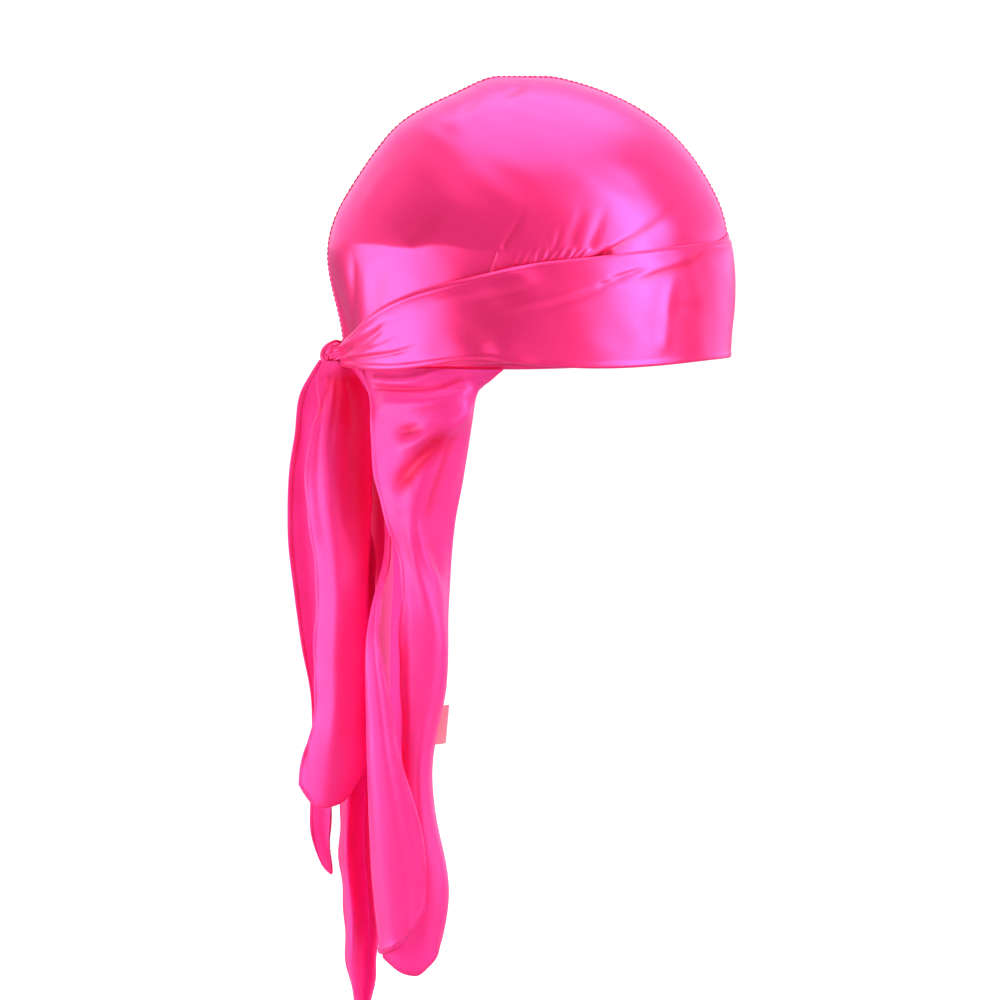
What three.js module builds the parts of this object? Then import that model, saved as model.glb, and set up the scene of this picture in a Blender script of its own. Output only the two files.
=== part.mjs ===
// A satin durag as it is worn: a hollow dome of two panels, two long ties wound
// round it into a wide band, a knot at the back, the two tails and a cape.
// Millimetres. +X is the forehead, -Y the wearer's right side, +Z up. The origin is
// the middle of the head opening, level with the hem.
import * as THREE from "three";

// Cloth
const clothWall = 1.2;
const layerGap = 0.35;

// Crown, measured to the middle of its cloth
const crownLength = 201;
const crownWidth = 158;
const crownHeight = 141;
const frontHemRise = 5.5;
const seamWidth = 2;
const seamProud = 0.45;

// The band that the two ties make
const bandWidth = 58;
const tieFoldDepth = 1.1;
const tuckDepth = 0.9;

// Knot
const knotDepth = 10;
const knotWidth = 19;
const knotHeight = 12.5;
const knotGroove = 1;

// Tails and cape, measured down from the hem
const shortTailLength = 256;
const shortTailSpread = 40;
const longTailLength = 330;
const longTailSpread = 20;
const capeLength = 302;
const swagDepth = 2.6;

// Label
const labelWidth = 11;
const labelHeight = 19;
const labelWall = 0.8;

// How far the middle of each layer of ties lies outside the middle of the crown's cloth
const innerTieOut = clothWall + seamProud + layerGap;
const outerTieOut = innerTieOut + clothWall + layerGap;

// A smooth curve through values ys at places xs, with no bend at its ends.
function smoothCurve(xs, ys) {
  const last = xs.length - 1;
  const bend = new Array(last + 1).fill(0);
  const carry = new Array(last + 1).fill(0);
  for (let i = 1; i < last; i++) {
    const before = xs[i] - xs[i - 1];
    const after = xs[i + 1] - xs[i];
    const share = before / (before + after);
    const pivot = share * bend[i - 1] + 2;
    const kink = (ys[i + 1] - ys[i]) / after - (ys[i] - ys[i - 1]) / before;
    bend[i] = (share - 1) / pivot;
    carry[i] = ((6 * kink) / (before + after) - share * carry[i - 1]) / pivot;
  }
  for (let i = last - 1; i >= 0; i--) bend[i] = bend[i] * bend[i + 1] + carry[i];
  return (x) => {
    let i = 0;
    while (i < last - 1 && x > xs[i + 1]) i++;
    const gap = xs[i + 1] - xs[i];
    const b = (x - xs[i]) / gap;
    const a = 1 - b;
    const curl = ((a ** 3 - a) * bend[i] + (b ** 3 - b) * bend[i + 1]) * (gap ** 2 / 6);
    return a * ys[i] + b * ys[i + 1] + (x < xs[0] || x > xs[last] ? 0 : curl);
  };
}

// The curve of one column of a table, over the column that orders its rows.
function columnCurve(rows, order, column) {
  return smoothCurve(rows.map((row) => row[order]), rows.map((row) => row[column]));
}

function softStep(from, to, x) {
  const t = Math.min(1, Math.max(0, (x - from) / (to - from)));
  return t * t * (3 - 2 * t);
}

// The outward direction of a surface, by small steps that stay inside its edges.
function outward(surface, across, down, inset) {
  const step = 0.002;
  const a = Math.min(1 - inset - step, Math.max(inset + step, across));
  const d = Math.min(1 - inset - step, Math.max(inset + step, down));
  const along = surface(a + step, d).sub(surface(a - step, d));
  const fall = surface(a, d + step).sub(surface(a, d - step));
  return along.cross(fall).normalize();
}

// A closed sheet of cloth of even thickness round a middle surface, which is given
// over shares from 0 to 1 across and down.
function clothSheet(surface, acrossSteps, downSteps, wall = clothWall, inset = 0.002) {
  const places = [];
  const faces = [];
  const columns = acrossSteps + 1;
  const layer = columns * (downSteps + 1);
  for (const side of [0.5, -0.5])
    for (let j = 0; j <= downSteps; j++)
      for (let i = 0; i <= acrossSteps; i++) {
        const across = i / acrossSteps;
        const down = j / downSteps;
        const point = surface(across, down);
        point.addScaledVector(outward(surface, across, down, inset), side * wall);
        places.push(point.x, point.y, point.z);
      }
  const quad = (a, b, c, d) => faces.push(a, b, c, a, c, d);
  for (let j = 0; j < downSteps; j++)
    for (let i = 0; i < acrossSteps; i++) {
      const a = j * columns + i;
      const c = a + columns + 1;
      quad(a, a + 1, c, c - 1);
      quad(layer + a, layer + c - 1, layer + c, layer + a + 1);
    }
  const rim = [];
  for (let i = 0; i < acrossSteps; i++) rim.push(i);
  for (let j = 0; j < downSteps; j++) rim.push(j * columns + acrossSteps);
  for (let i = acrossSteps; i > 0; i--) rim.push(downSteps * columns + i);
  for (let j = downSteps; j > 0; j--) rim.push(j * columns);
  rim.forEach((a, k) => {
    const b = rim[(k + 1) % rim.length];
    quad(a, layer + a, layer + b, b);
  });
  return solidFrom(places, faces);
}

// A geometry from points and triangles, turned so that its faces point out.
function solidFrom(places, faces) {
  const corner = (index) => new THREE.Vector3().fromArray(places, 3 * index);
  let volume = 0;
  for (let i = 0; i < faces.length; i += 3)
    volume += corner(faces[i]).dot(corner(faces[i + 1]).cross(corner(faces[i + 2])));
  if (volume < 0) faces.reverse();
  const geometry = new THREE.BufferGeometry();
  geometry.setAttribute("position", new THREE.Float32BufferAttribute(places, 3));
  geometry.setIndex(faces);
  geometry.computeVertexNormals();
  return geometry;
}

// The crown's outline, a row for each level from the hem up to the seam. climb is the
// share of a quarter turn up the dome; front, back and middle are shares of the
// crown's length, and side is a share of its width.
const CROWN_LEVELS = [
  { climb: 0, front: 0.475, back: 0.46, middle: -0.04, side: 0.465 },
  { climb: 0.08, front: 0.482, back: 0.47, middle: -0.04, side: 0.481 },
  { climb: 0.16, front: 0.487, back: 0.49, middle: -0.04, side: 0.492 },
  { climb: 0.24, front: 0.484, back: 0.503, middle: -0.04, side: 0.495 },
  { climb: 0.34, front: 0.471, back: 0.484, middle: -0.04, side: 0.484 },
  { climb: 0.44, front: 0.431, back: 0.434, middle: -0.037, side: 0.453 },
  { climb: 0.55, front: 0.37, back: 0.374, middle: -0.035, side: 0.402 },
  { climb: 0.66, front: 0.291, back: 0.302, middle: -0.032, side: 0.326 },
  { climb: 0.78, front: 0.187, back: 0.192, middle: -0.03, side: 0.222 },
  { climb: 0.89, front: 0.093, back: 0.126, middle: -0.026, side: 0.114 },
  { climb: 1, front: 0.03, back: 0.08, middle: -0.024, side: 0 },
];
const planSquareness = 0.05;
const panelInset = seamWidth / 2 + layerGap;
const crownFront = columnCurve(CROWN_LEVELS, "climb", "front");
const crownBack = columnCurve(CROWN_LEVELS, "climb", "back");
const crownMiddle = columnCurve(CROWN_LEVELS, "climb", "middle");
const crownSide = columnCurve(CROWN_LEVELS, "climb", "side");

const heightOf = (climb) => crownHeight * Math.sin((climb * Math.PI) / 2);
const climbTo = (height) => (Math.asin(height / crownHeight) * 2) / Math.PI;

// The lowest level of the crown, which rises from the ears to the forehead.
const hemClimb = (around) => climbTo(frontHemRise * softStep(0.26, 0, Math.abs(around)));

// A point of the crown's smooth outline. around is in turns: 0 at the forehead, 0.25
// at the wearer's right side, 0.5 at the back and negative on the left.
function crownOutline(around, climb, seamBlend = 0.1) {
  const angle = around * 2 * Math.PI;
  const cos = Math.cos(angle);
  const sin = Math.sin(angle);
  const middle = crownMiddle(climb);
  const reach = cos > 0 ? crownFront(climb) - middle : crownBack(climb) + middle;
  const x = crownLength * (middle + reach * cos * (1 + planSquareness * sin * sin));
  const side = crownWidth * crownSide(climb) * sin * (1 + planSquareness * cos * cos);
  const inset = (panelInset * sin) / Math.hypot(sin, seamBlend);
  return new THREE.Vector3(x, -side - inset, heightOf(climb));
}

// The crown's folds, a row each: a groove from one place to another, deepest halfway
// in its cross section and fading out towards both ends. Places are shares of the
// crown's length and height, and so are the width and depth, of its height.
const CROWN_FOLDS = [
  { fromX: 0.115, fromZ: 0.4, toX: 0.345, toZ: 0.66, width: 0.05, depth: 0.02 },
  { fromX: 0.1, fromZ: 0.35, toX: 0.2, toZ: 0.56, width: 0.03, depth: 0.013 },
  { fromX: 0.04, fromZ: 0.35, toX: 0.12, toZ: 0.52, width: 0.03, depth: 0.013 },
  { fromX: -0.02, fromZ: 0.33, toX: 0.05, toZ: 0.5, width: 0.03, depth: 0.011 },
  { fromX: -0.12, fromZ: 0.3, toX: -0.035, toZ: 0.56, width: 0.034, depth: 0.014 },
  { fromX: -0.44, fromZ: 0.08, toX: -0.43, toZ: 0.44, width: 0.04, depth: 0.012 },
];
// The tuck where the crown turns in under its widest line: how far below the line it
// has turned in fully, where it ends, and how deep it is, in shares of the height.
const CROWN_TUCK = { line: 0.45, full: 0.4, end: 0.27, depth: 0.014 };

function foldRelief(point) {
  let relief = 0;
  for (const fold of CROWN_FOLDS) {
    const along = new THREE.Vector2(
      (fold.toX - fold.fromX) * crownLength,
      (fold.toZ - fold.fromZ) * crownHeight,
    );
    const place = new THREE.Vector2(
      point.x - fold.fromX * crownLength,
      point.z - fold.fromZ * crownHeight,
    );
    const share = place.dot(along) / along.lengthSq();
    const away = Math.abs(place.cross(along)) / along.length() / (fold.width * crownHeight);
    const fade = softStep(-0.15, 0.2, share) * softStep(1.15, 0.6, share);
    relief -= fold.depth * crownHeight * fade * Math.exp(-away * away);
  }
  const level = point.z / crownHeight;
  const { line, full, end, depth } = CROWN_TUCK;
  const tucked = softStep(line, full, level) * softStep(end - 0.1, end, level);
  return relief - depth * crownHeight * tucked;
}

// The panels' rows and columns of faces lie closer together where the gathers are.
const PANEL_COLUMNS = [
  { across: 0, around: 0 },
  { across: 0.22, around: 0.14 },
  { across: 0.42, around: 0.2 },
  { across: 0.64, around: 0.28 },
  { across: 1, around: 0.5 },
];
const PANEL_ROWS = [
  { down: 0, climb: 1 },
  { down: 0.3, climb: 0.68 },
  { down: 0.5, climb: 0.46 },
  { down: 0.8, climb: 0.25 },
  { down: 1, climb: 0 },
];
const panelAround = columnCurve(PANEL_COLUMNS, "across", "around");
const panelClimb = columnCurve(PANEL_ROWS, "down", "climb");

// One panel of the crown. side is 1 for the wearer's right and -1 for the left, and
// relief is the share of the folds that it shows.
function crownPanel(side, relief, acrossSteps, downSteps) {
  const plain = (across, down) => {
    const around = Math.max(0.0001, Math.min(0.4999, panelAround(across)));
    const climb = panelClimb(down);
    const lifted = climb + (1 - climb) * hemClimb(around);
    return crownOutline(side * around, Math.min(1, lifted), 0);
  };
  const folded = (across, down) => {
    const point = plain(across, down);
    const fade = softStep(0, 0.06, across) * softStep(1, 0.94, across);
    const away = outward(plain, across, down, 0.01).multiplyScalar(side);
    if (away.y * side > 0) away.negate();
    return point.addScaledVector(away, relief * fade * foldRelief(point));
  };
  return clothSheet(folded, acrossSteps, downSteps, clothWall, 0.01);
}

// The seam over the top: a ribbon with a square section between the two panels.
function centreSeam(steps) {
  const half = steps / 2;
  const places = [];
  const faces = [];
  const stations = [];
  for (let i = 0; i <= steps; i++) {
    const lowest = i <= half ? hemClimb(0) : 0;
    const share = Math.min(1, Math.min(i, steps - i) / (half - 1));
    const climb = lowest + (1 - lowest) * share;
    const middle = crownMiddle(climb);
    const x = i <= half ? crownFront(climb) : -crownBack(climb);
    stations.push(new THREE.Vector3(crownLength * x, 0, heightOf(climb)));
    if (i === half) stations[i].set(crownLength * middle, 0, heightOf(1));
  }
  stations.forEach((station, i) => {
    const before = stations[Math.max(0, i - 1)];
    const after = stations[Math.min(steps, i + 1)];
    const out = new THREE.Vector3(after.z - before.z, 0, before.x - after.x).normalize();
    for (const [rise, side] of [[-1, -1], [-1, 1], [1, 1], [1, -1]]) {
      const reach = rise < 0 ? -clothWall / 2 : clothWall / 2 + seamProud;
      const corner = station.clone().addScaledVector(out, reach);
      places.push(corner.x, (side * seamWidth) / 2, corner.z);
    }
  });
  for (let i = 0; i < steps; i++)
    for (let k = 0; k < 4; k++) {
      const a = 4 * i + k;
      const b = 4 * i + ((k + 1) % 4);
      faces.push(a, b, b + 4, a, b + 4, a + 4);
    }
  const end = 4 * steps;
  faces.push(0, 2, 1, 0, 3, 2, end, end + 1, end + 2, end, end + 2, end + 3);
  return solidFrom(places, faces);
}

// The two edges of each tie round the crown, as shares of the band's width above the
// hem. around is in turns, as on the crown, and both ties run from knot to knot.
const OUTER_TIE = [
  { around: -0.481, upper: 0.15, lower: -0.02 },
  { around: -0.43, upper: 0.29, lower: -0.015 },
  { around: -0.39, upper: 0.48, lower: -0.01 },
  { around: -0.35, upper: 0.63, lower: -0.005 },
  { around: -0.28, upper: 0.79, lower: 0 },
  { around: -0.2, upper: 0.91, lower: 0.02 },
  { around: -0.1, upper: 1, lower: 0.05 },
  { around: 0, upper: 1.04, lower: 0.05 },
  { around: 0.08, upper: 1.04, lower: 0.058 },
  { around: 0.15, upper: 0.99, lower: 0.03 },
  { around: 0.2, upper: 0.935, lower: 0.025 },
  { around: 0.24, upper: 0.885, lower: 0.06 },
  { around: 0.28, upper: 0.79, lower: 0.1 },
  { around: 0.32, upper: 0.69, lower: 0.055 },
  { around: 0.36, upper: 0.57, lower: 0.005 },
  { around: 0.397, upper: 0.42, lower: -0.01 },
  { around: 0.431, upper: 0.27, lower: -0.015 },
  { around: 0.481, upper: 0.15, lower: -0.02 },
];
const INNER_TIE = [
  { around: -0.481, upper: 0.13, lower: 0 },
  { around: -0.42, upper: 0.29, lower: 0.01 },
  { around: -0.36, upper: 0.62, lower: 0.04 },
  { around: -0.28, upper: 0.86, lower: 0.08 },
  { around: -0.2, upper: 1.02, lower: 0.12 },
  { around: -0.12, upper: 1.13, lower: 0.14 },
  { around: -0.04, upper: 1.12, lower: 0.14 },
  { around: 0.04, upper: 1.06, lower: 0.12 },
  { around: 0.12, upper: 0.96, lower: 0.1 },
  { around: 0.2, upper: 0.84, lower: 0.08 },
  { around: 0.28, upper: 0.68, lower: 0.06 },
  { around: 0.36, upper: 0.46, lower: 0.03 },
  { around: 0.42, upper: 0.24, lower: 0.01 },
  { around: 0.481, upper: 0.13, lower: 0 },
];

// A tie wound round the crown. relief gives how far each place of it stands out more.
function woundTie(rows, out, relief, acrossSteps, downSteps) {
  const upper = columnCurve(rows, "around", "upper");
  const lower = columnCurve(rows, "around", "lower");
  const start = rows[0].around;
  const finish = rows[rows.length - 1].around;
  const outline = (around, height) => crownOutline(around, climbTo(height));
  const surface = (across, down) => {
    const around = start + (finish - start) * across;
    const height = bandWidth * (upper(around) + (lower(around) - upper(around)) * down);
    const along = outline(around + 0.003, height).sub(outline(around - 0.003, height));
    const climb = outline(around, height + 1).sub(outline(around, height - 1));
    const away = along.cross(climb).normalize();
    if (away.x * Math.cos(2 * Math.PI * around) - away.y * Math.sin(2 * Math.PI * around) < 0)
      away.negate();
    return outline(around, height).addScaledVector(away, out + relief(around, down));
  };
  return clothSheet(surface, acrossSteps, downSteps);
}

// The outer tie gathers into lengthwise folds towards the knot, and has a low tuck
// across it where the two ties cross at the right temple.
const TIE_TUCK = { from: 0.17, to: 0.085, lowShare: 0.2, highShare: -0.02, soft: 0.12 };

function outerTieRelief(around, down) {
  const gather = softStep(0.3, 0.46, Math.abs(around));
  const ridges = 0.5 - 0.5 * Math.cos(2 * Math.PI * (2 * down + 0.1));
  const { from, to, lowShare, highShare, soft } = TIE_TUCK;
  const share = (from - around) / (from - to);
  const edge = lowShare + (highShare - lowShare) * share;
  const shown = softStep(-0.1, 0.8, share) * softStep(5.5, 3, share);
  const tuck = shown * softStep(edge - soft / 2, edge + soft / 2, down);
  return tieFoldDepth * gather * ridges + tuckDepth * tuck;
}

// The knot: a small pillow with grooves where the cloth turns round itself.
const knotHeightAbove = bandWidth * 0.055;
const crownBackAt = -crownLength * crownBack(climbTo(knotHeightAbove));
const knotX = crownBackAt - clothWall / 2 - seamProud - layerGap - knotDepth / 2;

function knotSolid(aroundSteps, levelSteps) {
  const places = [];
  const faces = [];
  const point = (turn, level) => {
    const groove = 1 - (knotGroove / knotHeight) * (1 + Math.cos(6 * Math.PI * turn + 2.2 * level));
    const ring = Math.sin(level) ** 0.8 * groove;
    const x = (knotDepth / 2) * Math.cos(2 * Math.PI * turn) * ring;
    const z = (knotHeight / 2) * Math.sin(2 * Math.PI * turn) * ring;
    return [knotX + x, (-knotWidth / 2) * Math.cos(level), knotHeightAbove + z];
  };
  for (let j = 1; j < levelSteps; j++)
    for (let i = 0; i < aroundSteps; i++)
      places.push(...point(i / aroundSteps, (Math.PI * j) / levelSteps));
  const near = places.length / 3;
  places.push(...point(0, 0), ...point(0, Math.PI));
  const rings = levelSteps - 1;
  for (let i = 0; i < aroundSteps; i++) {
    const next = (i + 1) % aroundSteps;
    faces.push(near, next, i);
    for (let j = 0; j < rings - 1; j++) {
      const a = j * aroundSteps + i;
      const b = j * aroundSteps + next;
      faces.push(a, b, b + aroundSteps, a, b + aroundSteps, a + aroundSteps);
    }
    const foot = (rings - 1) * aroundSteps;
    faces.push(near + 1, foot + i, foot + next);
  }
  return solidFrom(places, faces);
}

// Rows of faces lie closer together near the top of hanging cloth.
const rowSpread = 1.3;

// A piece of hanging cloth, from a table of its sections in plan. Each row is a level,
// a share of the length below the hem, and its other columns are the places where the
// cloth turns. ends gives the share of the length that each column of cloth reaches.
function hangingCloth({ rows, turns, place, top, topHeight, length, ends, relief }) {
  const levels = rows.map((row) => row.drop);
  const spaced = turns.map((_, k) => k / (turns.length - 1));
  const tracks = turns.map((turn) => [0, 1].map((axis) => smoothCurve(
    [topHeight / -length, ...levels],
    [top(turn)[axis], ...rows.map((row) => place(row[turn])[axis])],
  )));
  const endAt = smoothCurve(ends.map((row) => row.across), ends.map((row) => row.reach));
  return (across, down) => {
    const height = topHeight + (-length * endAt(across) - topHeight) * down ** rowSpread;
    const drop = height / -length;
    const section = [0, 1].map((axis) => smoothCurve(spaced, tracks.map((t) => t[axis](drop))));
    const point = new THREE.Vector3(section[0](across), section[1](across), height);
    return relief ? relief(point, across, drop) : point;
  };
}

// Columns of the cape's tables are shares of the crown's length and width.
const capePlace = ([x, y]) => [x * crownLength, y * crownWidth];
const capeTop = -layerGap - clothWall / 2;
const rimPlace = (around) => {
  const rim = crownOutline(around, 0);
  return [rim.x, rim.y];
};

// The cape's right flap hangs from its rim behind the ear, with its stitched hem
// towards the knot, and turns back on itself at its front edge.
const RIGHT_FLAP_RIM = { hem: 0.432, front: 0.375, ridge: 0.325, side: 0.285, inner: 0.262 };
const RIGHT_FLAP = [
  { drop: 0.06, hem: [-0.396, -0.318], front: [-0.29, -0.43], ridge: [-0.19, -0.465], side: [-0.142, -0.42], inner: [-0.165, -0.36] },
  { drop: 0.115, hem: [-0.394, -0.335], front: [-0.29, -0.428], ridge: [-0.213, -0.45], side: [-0.155, -0.385], inner: [-0.188, -0.33] },
  { drop: 0.197, hem: [-0.379, -0.34], front: [-0.313, -0.405], ridge: [-0.254, -0.42], side: [-0.178, -0.345], inner: [-0.21, -0.295] },
  { drop: 0.263, hem: [-0.351, -0.338], front: [-0.313, -0.378], ridge: [-0.277, -0.392], side: [-0.196, -0.32], inner: [-0.228, -0.27] },
  { drop: 0.315, hem: [-0.325, -0.334], front: [-0.298, -0.364], ridge: [-0.27, -0.376], side: [-0.202, -0.3], inner: [-0.233, -0.25] },
  { drop: 0.42, hem: [-0.324, -0.318], front: [-0.271, -0.354], ridge: [-0.23, -0.35], side: [-0.206, -0.292], inner: [-0.234, -0.242] },
  { drop: 0.53, hem: [-0.322, -0.312], front: [-0.274, -0.345], ridge: [-0.232, -0.33], side: [-0.212, -0.274], inner: [-0.239, -0.225] },
  { drop: 0.64, hem: [-0.318, -0.305], front: [-0.288, -0.33], ridge: [-0.262, -0.318], side: [-0.244, -0.266], inner: [-0.268, -0.226] },
  { drop: 0.757, hem: [-0.328, -0.292], front: [-0.288, -0.314], ridge: [-0.256, -0.303], side: [-0.233, -0.26], inner: [-0.256, -0.22] },
  { drop: 0.859, hem: [-0.345, -0.28], front: [-0.288, -0.304], ridge: [-0.234, -0.292], side: [-0.207, -0.252], inner: [-0.234, -0.214] },
  { drop: 0.947, hem: [-0.37, -0.27], front: [-0.305, -0.297], ridge: [-0.25, -0.285], side: [-0.224, -0.247], inner: [-0.249, -0.214] },
  { drop: 1, hem: [-0.36, -0.265], front: [-0.302, -0.29], ridge: [-0.262, -0.278], side: [-0.242, -0.245], inner: [-0.258, -0.215] },
];
const RIGHT_FLAP_ENDS = [
  { across: 0, reach: 0.97 },
  { across: 0.2, reach: 0.995 },
  { across: 0.42, reach: 1 },
  { across: 0.6, reach: 0.98 },
  { across: 0.75, reach: 0.945 },
  { across: 0.9, reach: 0.915 },
  { across: 1, reach: 0.905 },
];

// The swags of the right flap under the band, which fan out from its front edge to
// the hem. Each row is a fold: its drop at the two edges, its width and its depth.
const SWAGS = [
  { atHem: 0.055, atSide: 0.02, width: 0.022, depth: 1 },
  { atHem: 0.125, atSide: 0.045, width: 0.026, depth: 0.9 },
  { atHem: 0.225, atSide: 0.07, width: 0.034, depth: 0.7 },
];

function swagRelief(point, across, drop) {
  const edge = softStep(0, 0.12, across) * softStep(0.82, 0.6, across);
  let relief = 0;
  for (const swag of SWAGS) {
    const level = swag.atHem + (swag.atSide - swag.atHem) * (across / 0.75) ** 0.8;
    const away = (drop - level) / swag.width;
    relief += swag.depth * Math.exp(-away * away);
  }
  const out = new THREE.Vector3(point.x * 0.35, point.y, 0).normalize();
  return point.addScaledVector(out, swagDepth * edge * relief);
}

// The left flap hangs from the far ear round the nape. It runs in behind the right
// flap, then comes out at the back edge and turns over on top of it.
const LEFT_FLAP_RIM = { far: -0.262, farSide: -0.34, back: -0.455, turn: 0.495, fold: 0.468, over: 0.455, hem: 0.443 };
const LEFT_FLAP = [
  { drop: 0.066, far: [-0.15, 0.418], farSide: [-0.31, 0.367], back: [-0.43, 0.15], turn: [-0.402, -0.02], fold: [-0.392, -0.11], over: [-0.384, -0.16], hem: [-0.372, -0.21] },
  { drop: 0.13, far: [-0.164, 0.39], farSide: [-0.318, 0.316], back: [-0.43, 0.125], turn: [-0.378, -0.01], fold: [-0.378, -0.12], over: [-0.37, -0.18], hem: [-0.358, -0.225] },
  { drop: 0.22, far: [-0.186, 0.34], farSide: [-0.318, 0.275], back: [-0.423, 0.12], turn: [-0.368, 0], fold: [-0.368, -0.125], over: [-0.362, -0.19], hem: [-0.35, -0.235] },
  { drop: 0.31, far: [-0.209, 0.29], farSide: [-0.318, 0.24], back: [-0.418, 0.115], turn: [-0.358, 0], fold: [-0.362, -0.15], over: [-0.36, -0.215], hem: [-0.35, -0.265] },
  { drop: 0.378, far: [-0.219, 0.266], farSide: [-0.323, 0.215], back: [-0.413, 0.108], turn: [-0.353, -0.005], fold: [-0.38, -0.205], over: [-0.382, -0.285], hem: [-0.37, -0.325] },
  { drop: 0.43, far: [-0.224, 0.25], farSide: [-0.328, 0.2], back: [-0.408, 0.105], turn: [-0.353, -0.01], fold: [-0.396, -0.255], over: [-0.393, -0.345], hem: [-0.377, -0.372] },
  { drop: 0.53, far: [-0.239, 0.203], farSide: [-0.328, 0.17], back: [-0.403, 0.095], turn: [-0.353, -0.015], fold: [-0.404, -0.268], over: [-0.386, -0.37], hem: [-0.35, -0.382] },
  { drop: 0.64, far: [-0.249, 0.165], farSide: [-0.328, 0.14], back: [-0.398, 0.082], turn: [-0.353, -0.025], fold: [-0.403, -0.265], over: [-0.373, -0.372], hem: [-0.321, -0.386] },
  { drop: 0.757, far: [-0.259, 0.127], farSide: [-0.328, 0.108], back: [-0.393, 0.063], turn: [-0.353, -0.038], fold: [-0.4, -0.26], over: [-0.352, -0.368], hem: [-0.272, -0.38] },
  { drop: 0.83, far: [-0.264, 0.105], farSide: [-0.328, 0.09], back: [-0.388, 0.05], turn: [-0.353, -0.045], fold: [-0.396, -0.255], over: [-0.338, -0.358], hem: [-0.262, -0.368] },
  { drop: 0.9, far: [-0.268, 0.09], farSide: [-0.328, 0.076], back: [-0.383, 0.038], turn: [-0.353, -0.05], fold: [-0.386, -0.25], over: [-0.33, -0.346], hem: [-0.266, -0.355] },
  { drop: 1, far: [-0.274, 0.076], farSide: [-0.328, 0.062], back: [-0.378, 0.025], turn: [-0.353, -0.057], fold: [-0.37, -0.242], over: [-0.328, -0.335], hem: [-0.28, -0.34] },
];
const LEFT_FLAP_ENDS = [
  { across: 0, reach: 0.86 },
  { across: 0.2, reach: 0.91 },
  { across: 0.45, reach: 0.94 },
  { across: 0.68, reach: 0.965 },
  { across: 0.84, reach: 0.945 },
  { across: 0.93, reach: 0.92 },
  { across: 1, reach: 0.885 },
];

// Columns of the tails' tables are shares of each tail's spread, from the knot.
const tailTop = knotHeightAbove - knotHeight / 2 - layerGap;
const tailPlace = (spread) => ([x, y]) => [knotX + x * spread, y * spread];

// The short tail is folded lengthwise: its hem and front layer face the right side,
// and its back layer ends in a longer, narrow tip.
const SHORT_TAIL_TOP = { hem: [-0.12, -0.16], front: [0.02, -0.22], fold: [0.14, -0.14], back: [0, -0.07], edge: [-0.17, -0.03] };
const SHORT_TAIL = [
  { drop: 0.04, hem: [-0.2, -0.28], front: [-0.01, -0.38], fold: [0.15, -0.26], back: [-0.08, -0.11], edge: [-0.34, -0.06] },
  { drop: 0.078, hem: [-0.18, -0.4], front: [-0.01, -0.5], fold: [0.16, -0.34], back: [-0.11, -0.15], edge: [-0.43, -0.1] },
  { drop: 0.137, hem: [-0.25, -0.5], front: [-0.04, -0.63], fold: [0.19, -0.45], back: [-0.16, -0.18], edge: [-0.47, -0.12] },
  { drop: 0.195, hem: [-0.31, -0.55], front: [-0.05, -0.7], fold: [0.23, -0.5], back: [-0.15, -0.2], edge: [-0.53, -0.13] },
  { drop: 0.262, hem: [-0.31, -0.58], front: [-0.04, -0.73], fold: [0.26, -0.52], back: [-0.13, -0.22], edge: [-0.56, -0.15] },
  { drop: 0.344, hem: [-0.25, -0.6], front: [0.04, -0.74], fold: [0.3, -0.53], back: [-0.1, -0.23], edge: [-0.56, -0.16] },
  { drop: 0.465, hem: [-0.2, -0.6], front: [0.12, -0.75], fold: [0.42, -0.55], back: [-0.05, -0.24], edge: [-0.475, -0.17] },
  { drop: 0.566, hem: [-0.235, -0.6], front: [0.1, -0.75], fold: [0.42, -0.55], back: [-0.02, -0.25], edge: [-0.385, -0.18] },
  { drop: 0.645, hem: [-0.22, -0.6], front: [0.1, -0.75], fold: [0.4, -0.55], back: [-0.02, -0.26], edge: [-0.29, -0.2] },
  { drop: 0.723, hem: [-0.285, -0.6], front: [0.07, -0.75], fold: [0.395, -0.55], back: [-0.03, -0.28], edge: [-0.27, -0.22] },
  { drop: 0.781, hem: [-0.405, -0.59], front: [0.04, -0.73], fold: [0.4, -0.55], back: [-0.03, -0.31], edge: [-0.28, -0.24] },
  { drop: 0.855, hem: [-0.4, -0.58], front: [-0.03, -0.7], fold: [0.26, -0.5], back: [0, -0.35], edge: [-0.29, -0.27] },
  { drop: 0.9, hem: [-0.35, -0.57], front: [-0.05, -0.66], fold: [0.2, -0.48], back: [0.03, -0.36], edge: [-0.295, -0.27] },
  { drop: 0.95, hem: [-0.3, -0.57], front: [-0.03, -0.64], fold: [0.16, -0.46], back: [0.04, -0.36], edge: [-0.235, -0.28] },
  { drop: 1, hem: [-0.28, -0.56], front: [0, -0.62], fold: [0.19, -0.43], back: [0.13, -0.36], edge: [-0.1, -0.29] },
];
const SHORT_TAIL_ENDS = [
  { across: 0, reach: 0.82 },
  { across: 0.1, reach: 0.855 },
  { across: 0.25, reach: 0.86 },
  { across: 0.4, reach: 0.83 },
  { across: 0.5, reach: 0.785 },
  { across: 0.62, reach: 0.81 },
  { across: 0.75, reach: 0.84 },
  { across: 0.82, reach: 0.92 },
  { across: 0.93, reach: 1 },
  { across: 1, reach: 0.985 },
];

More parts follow.
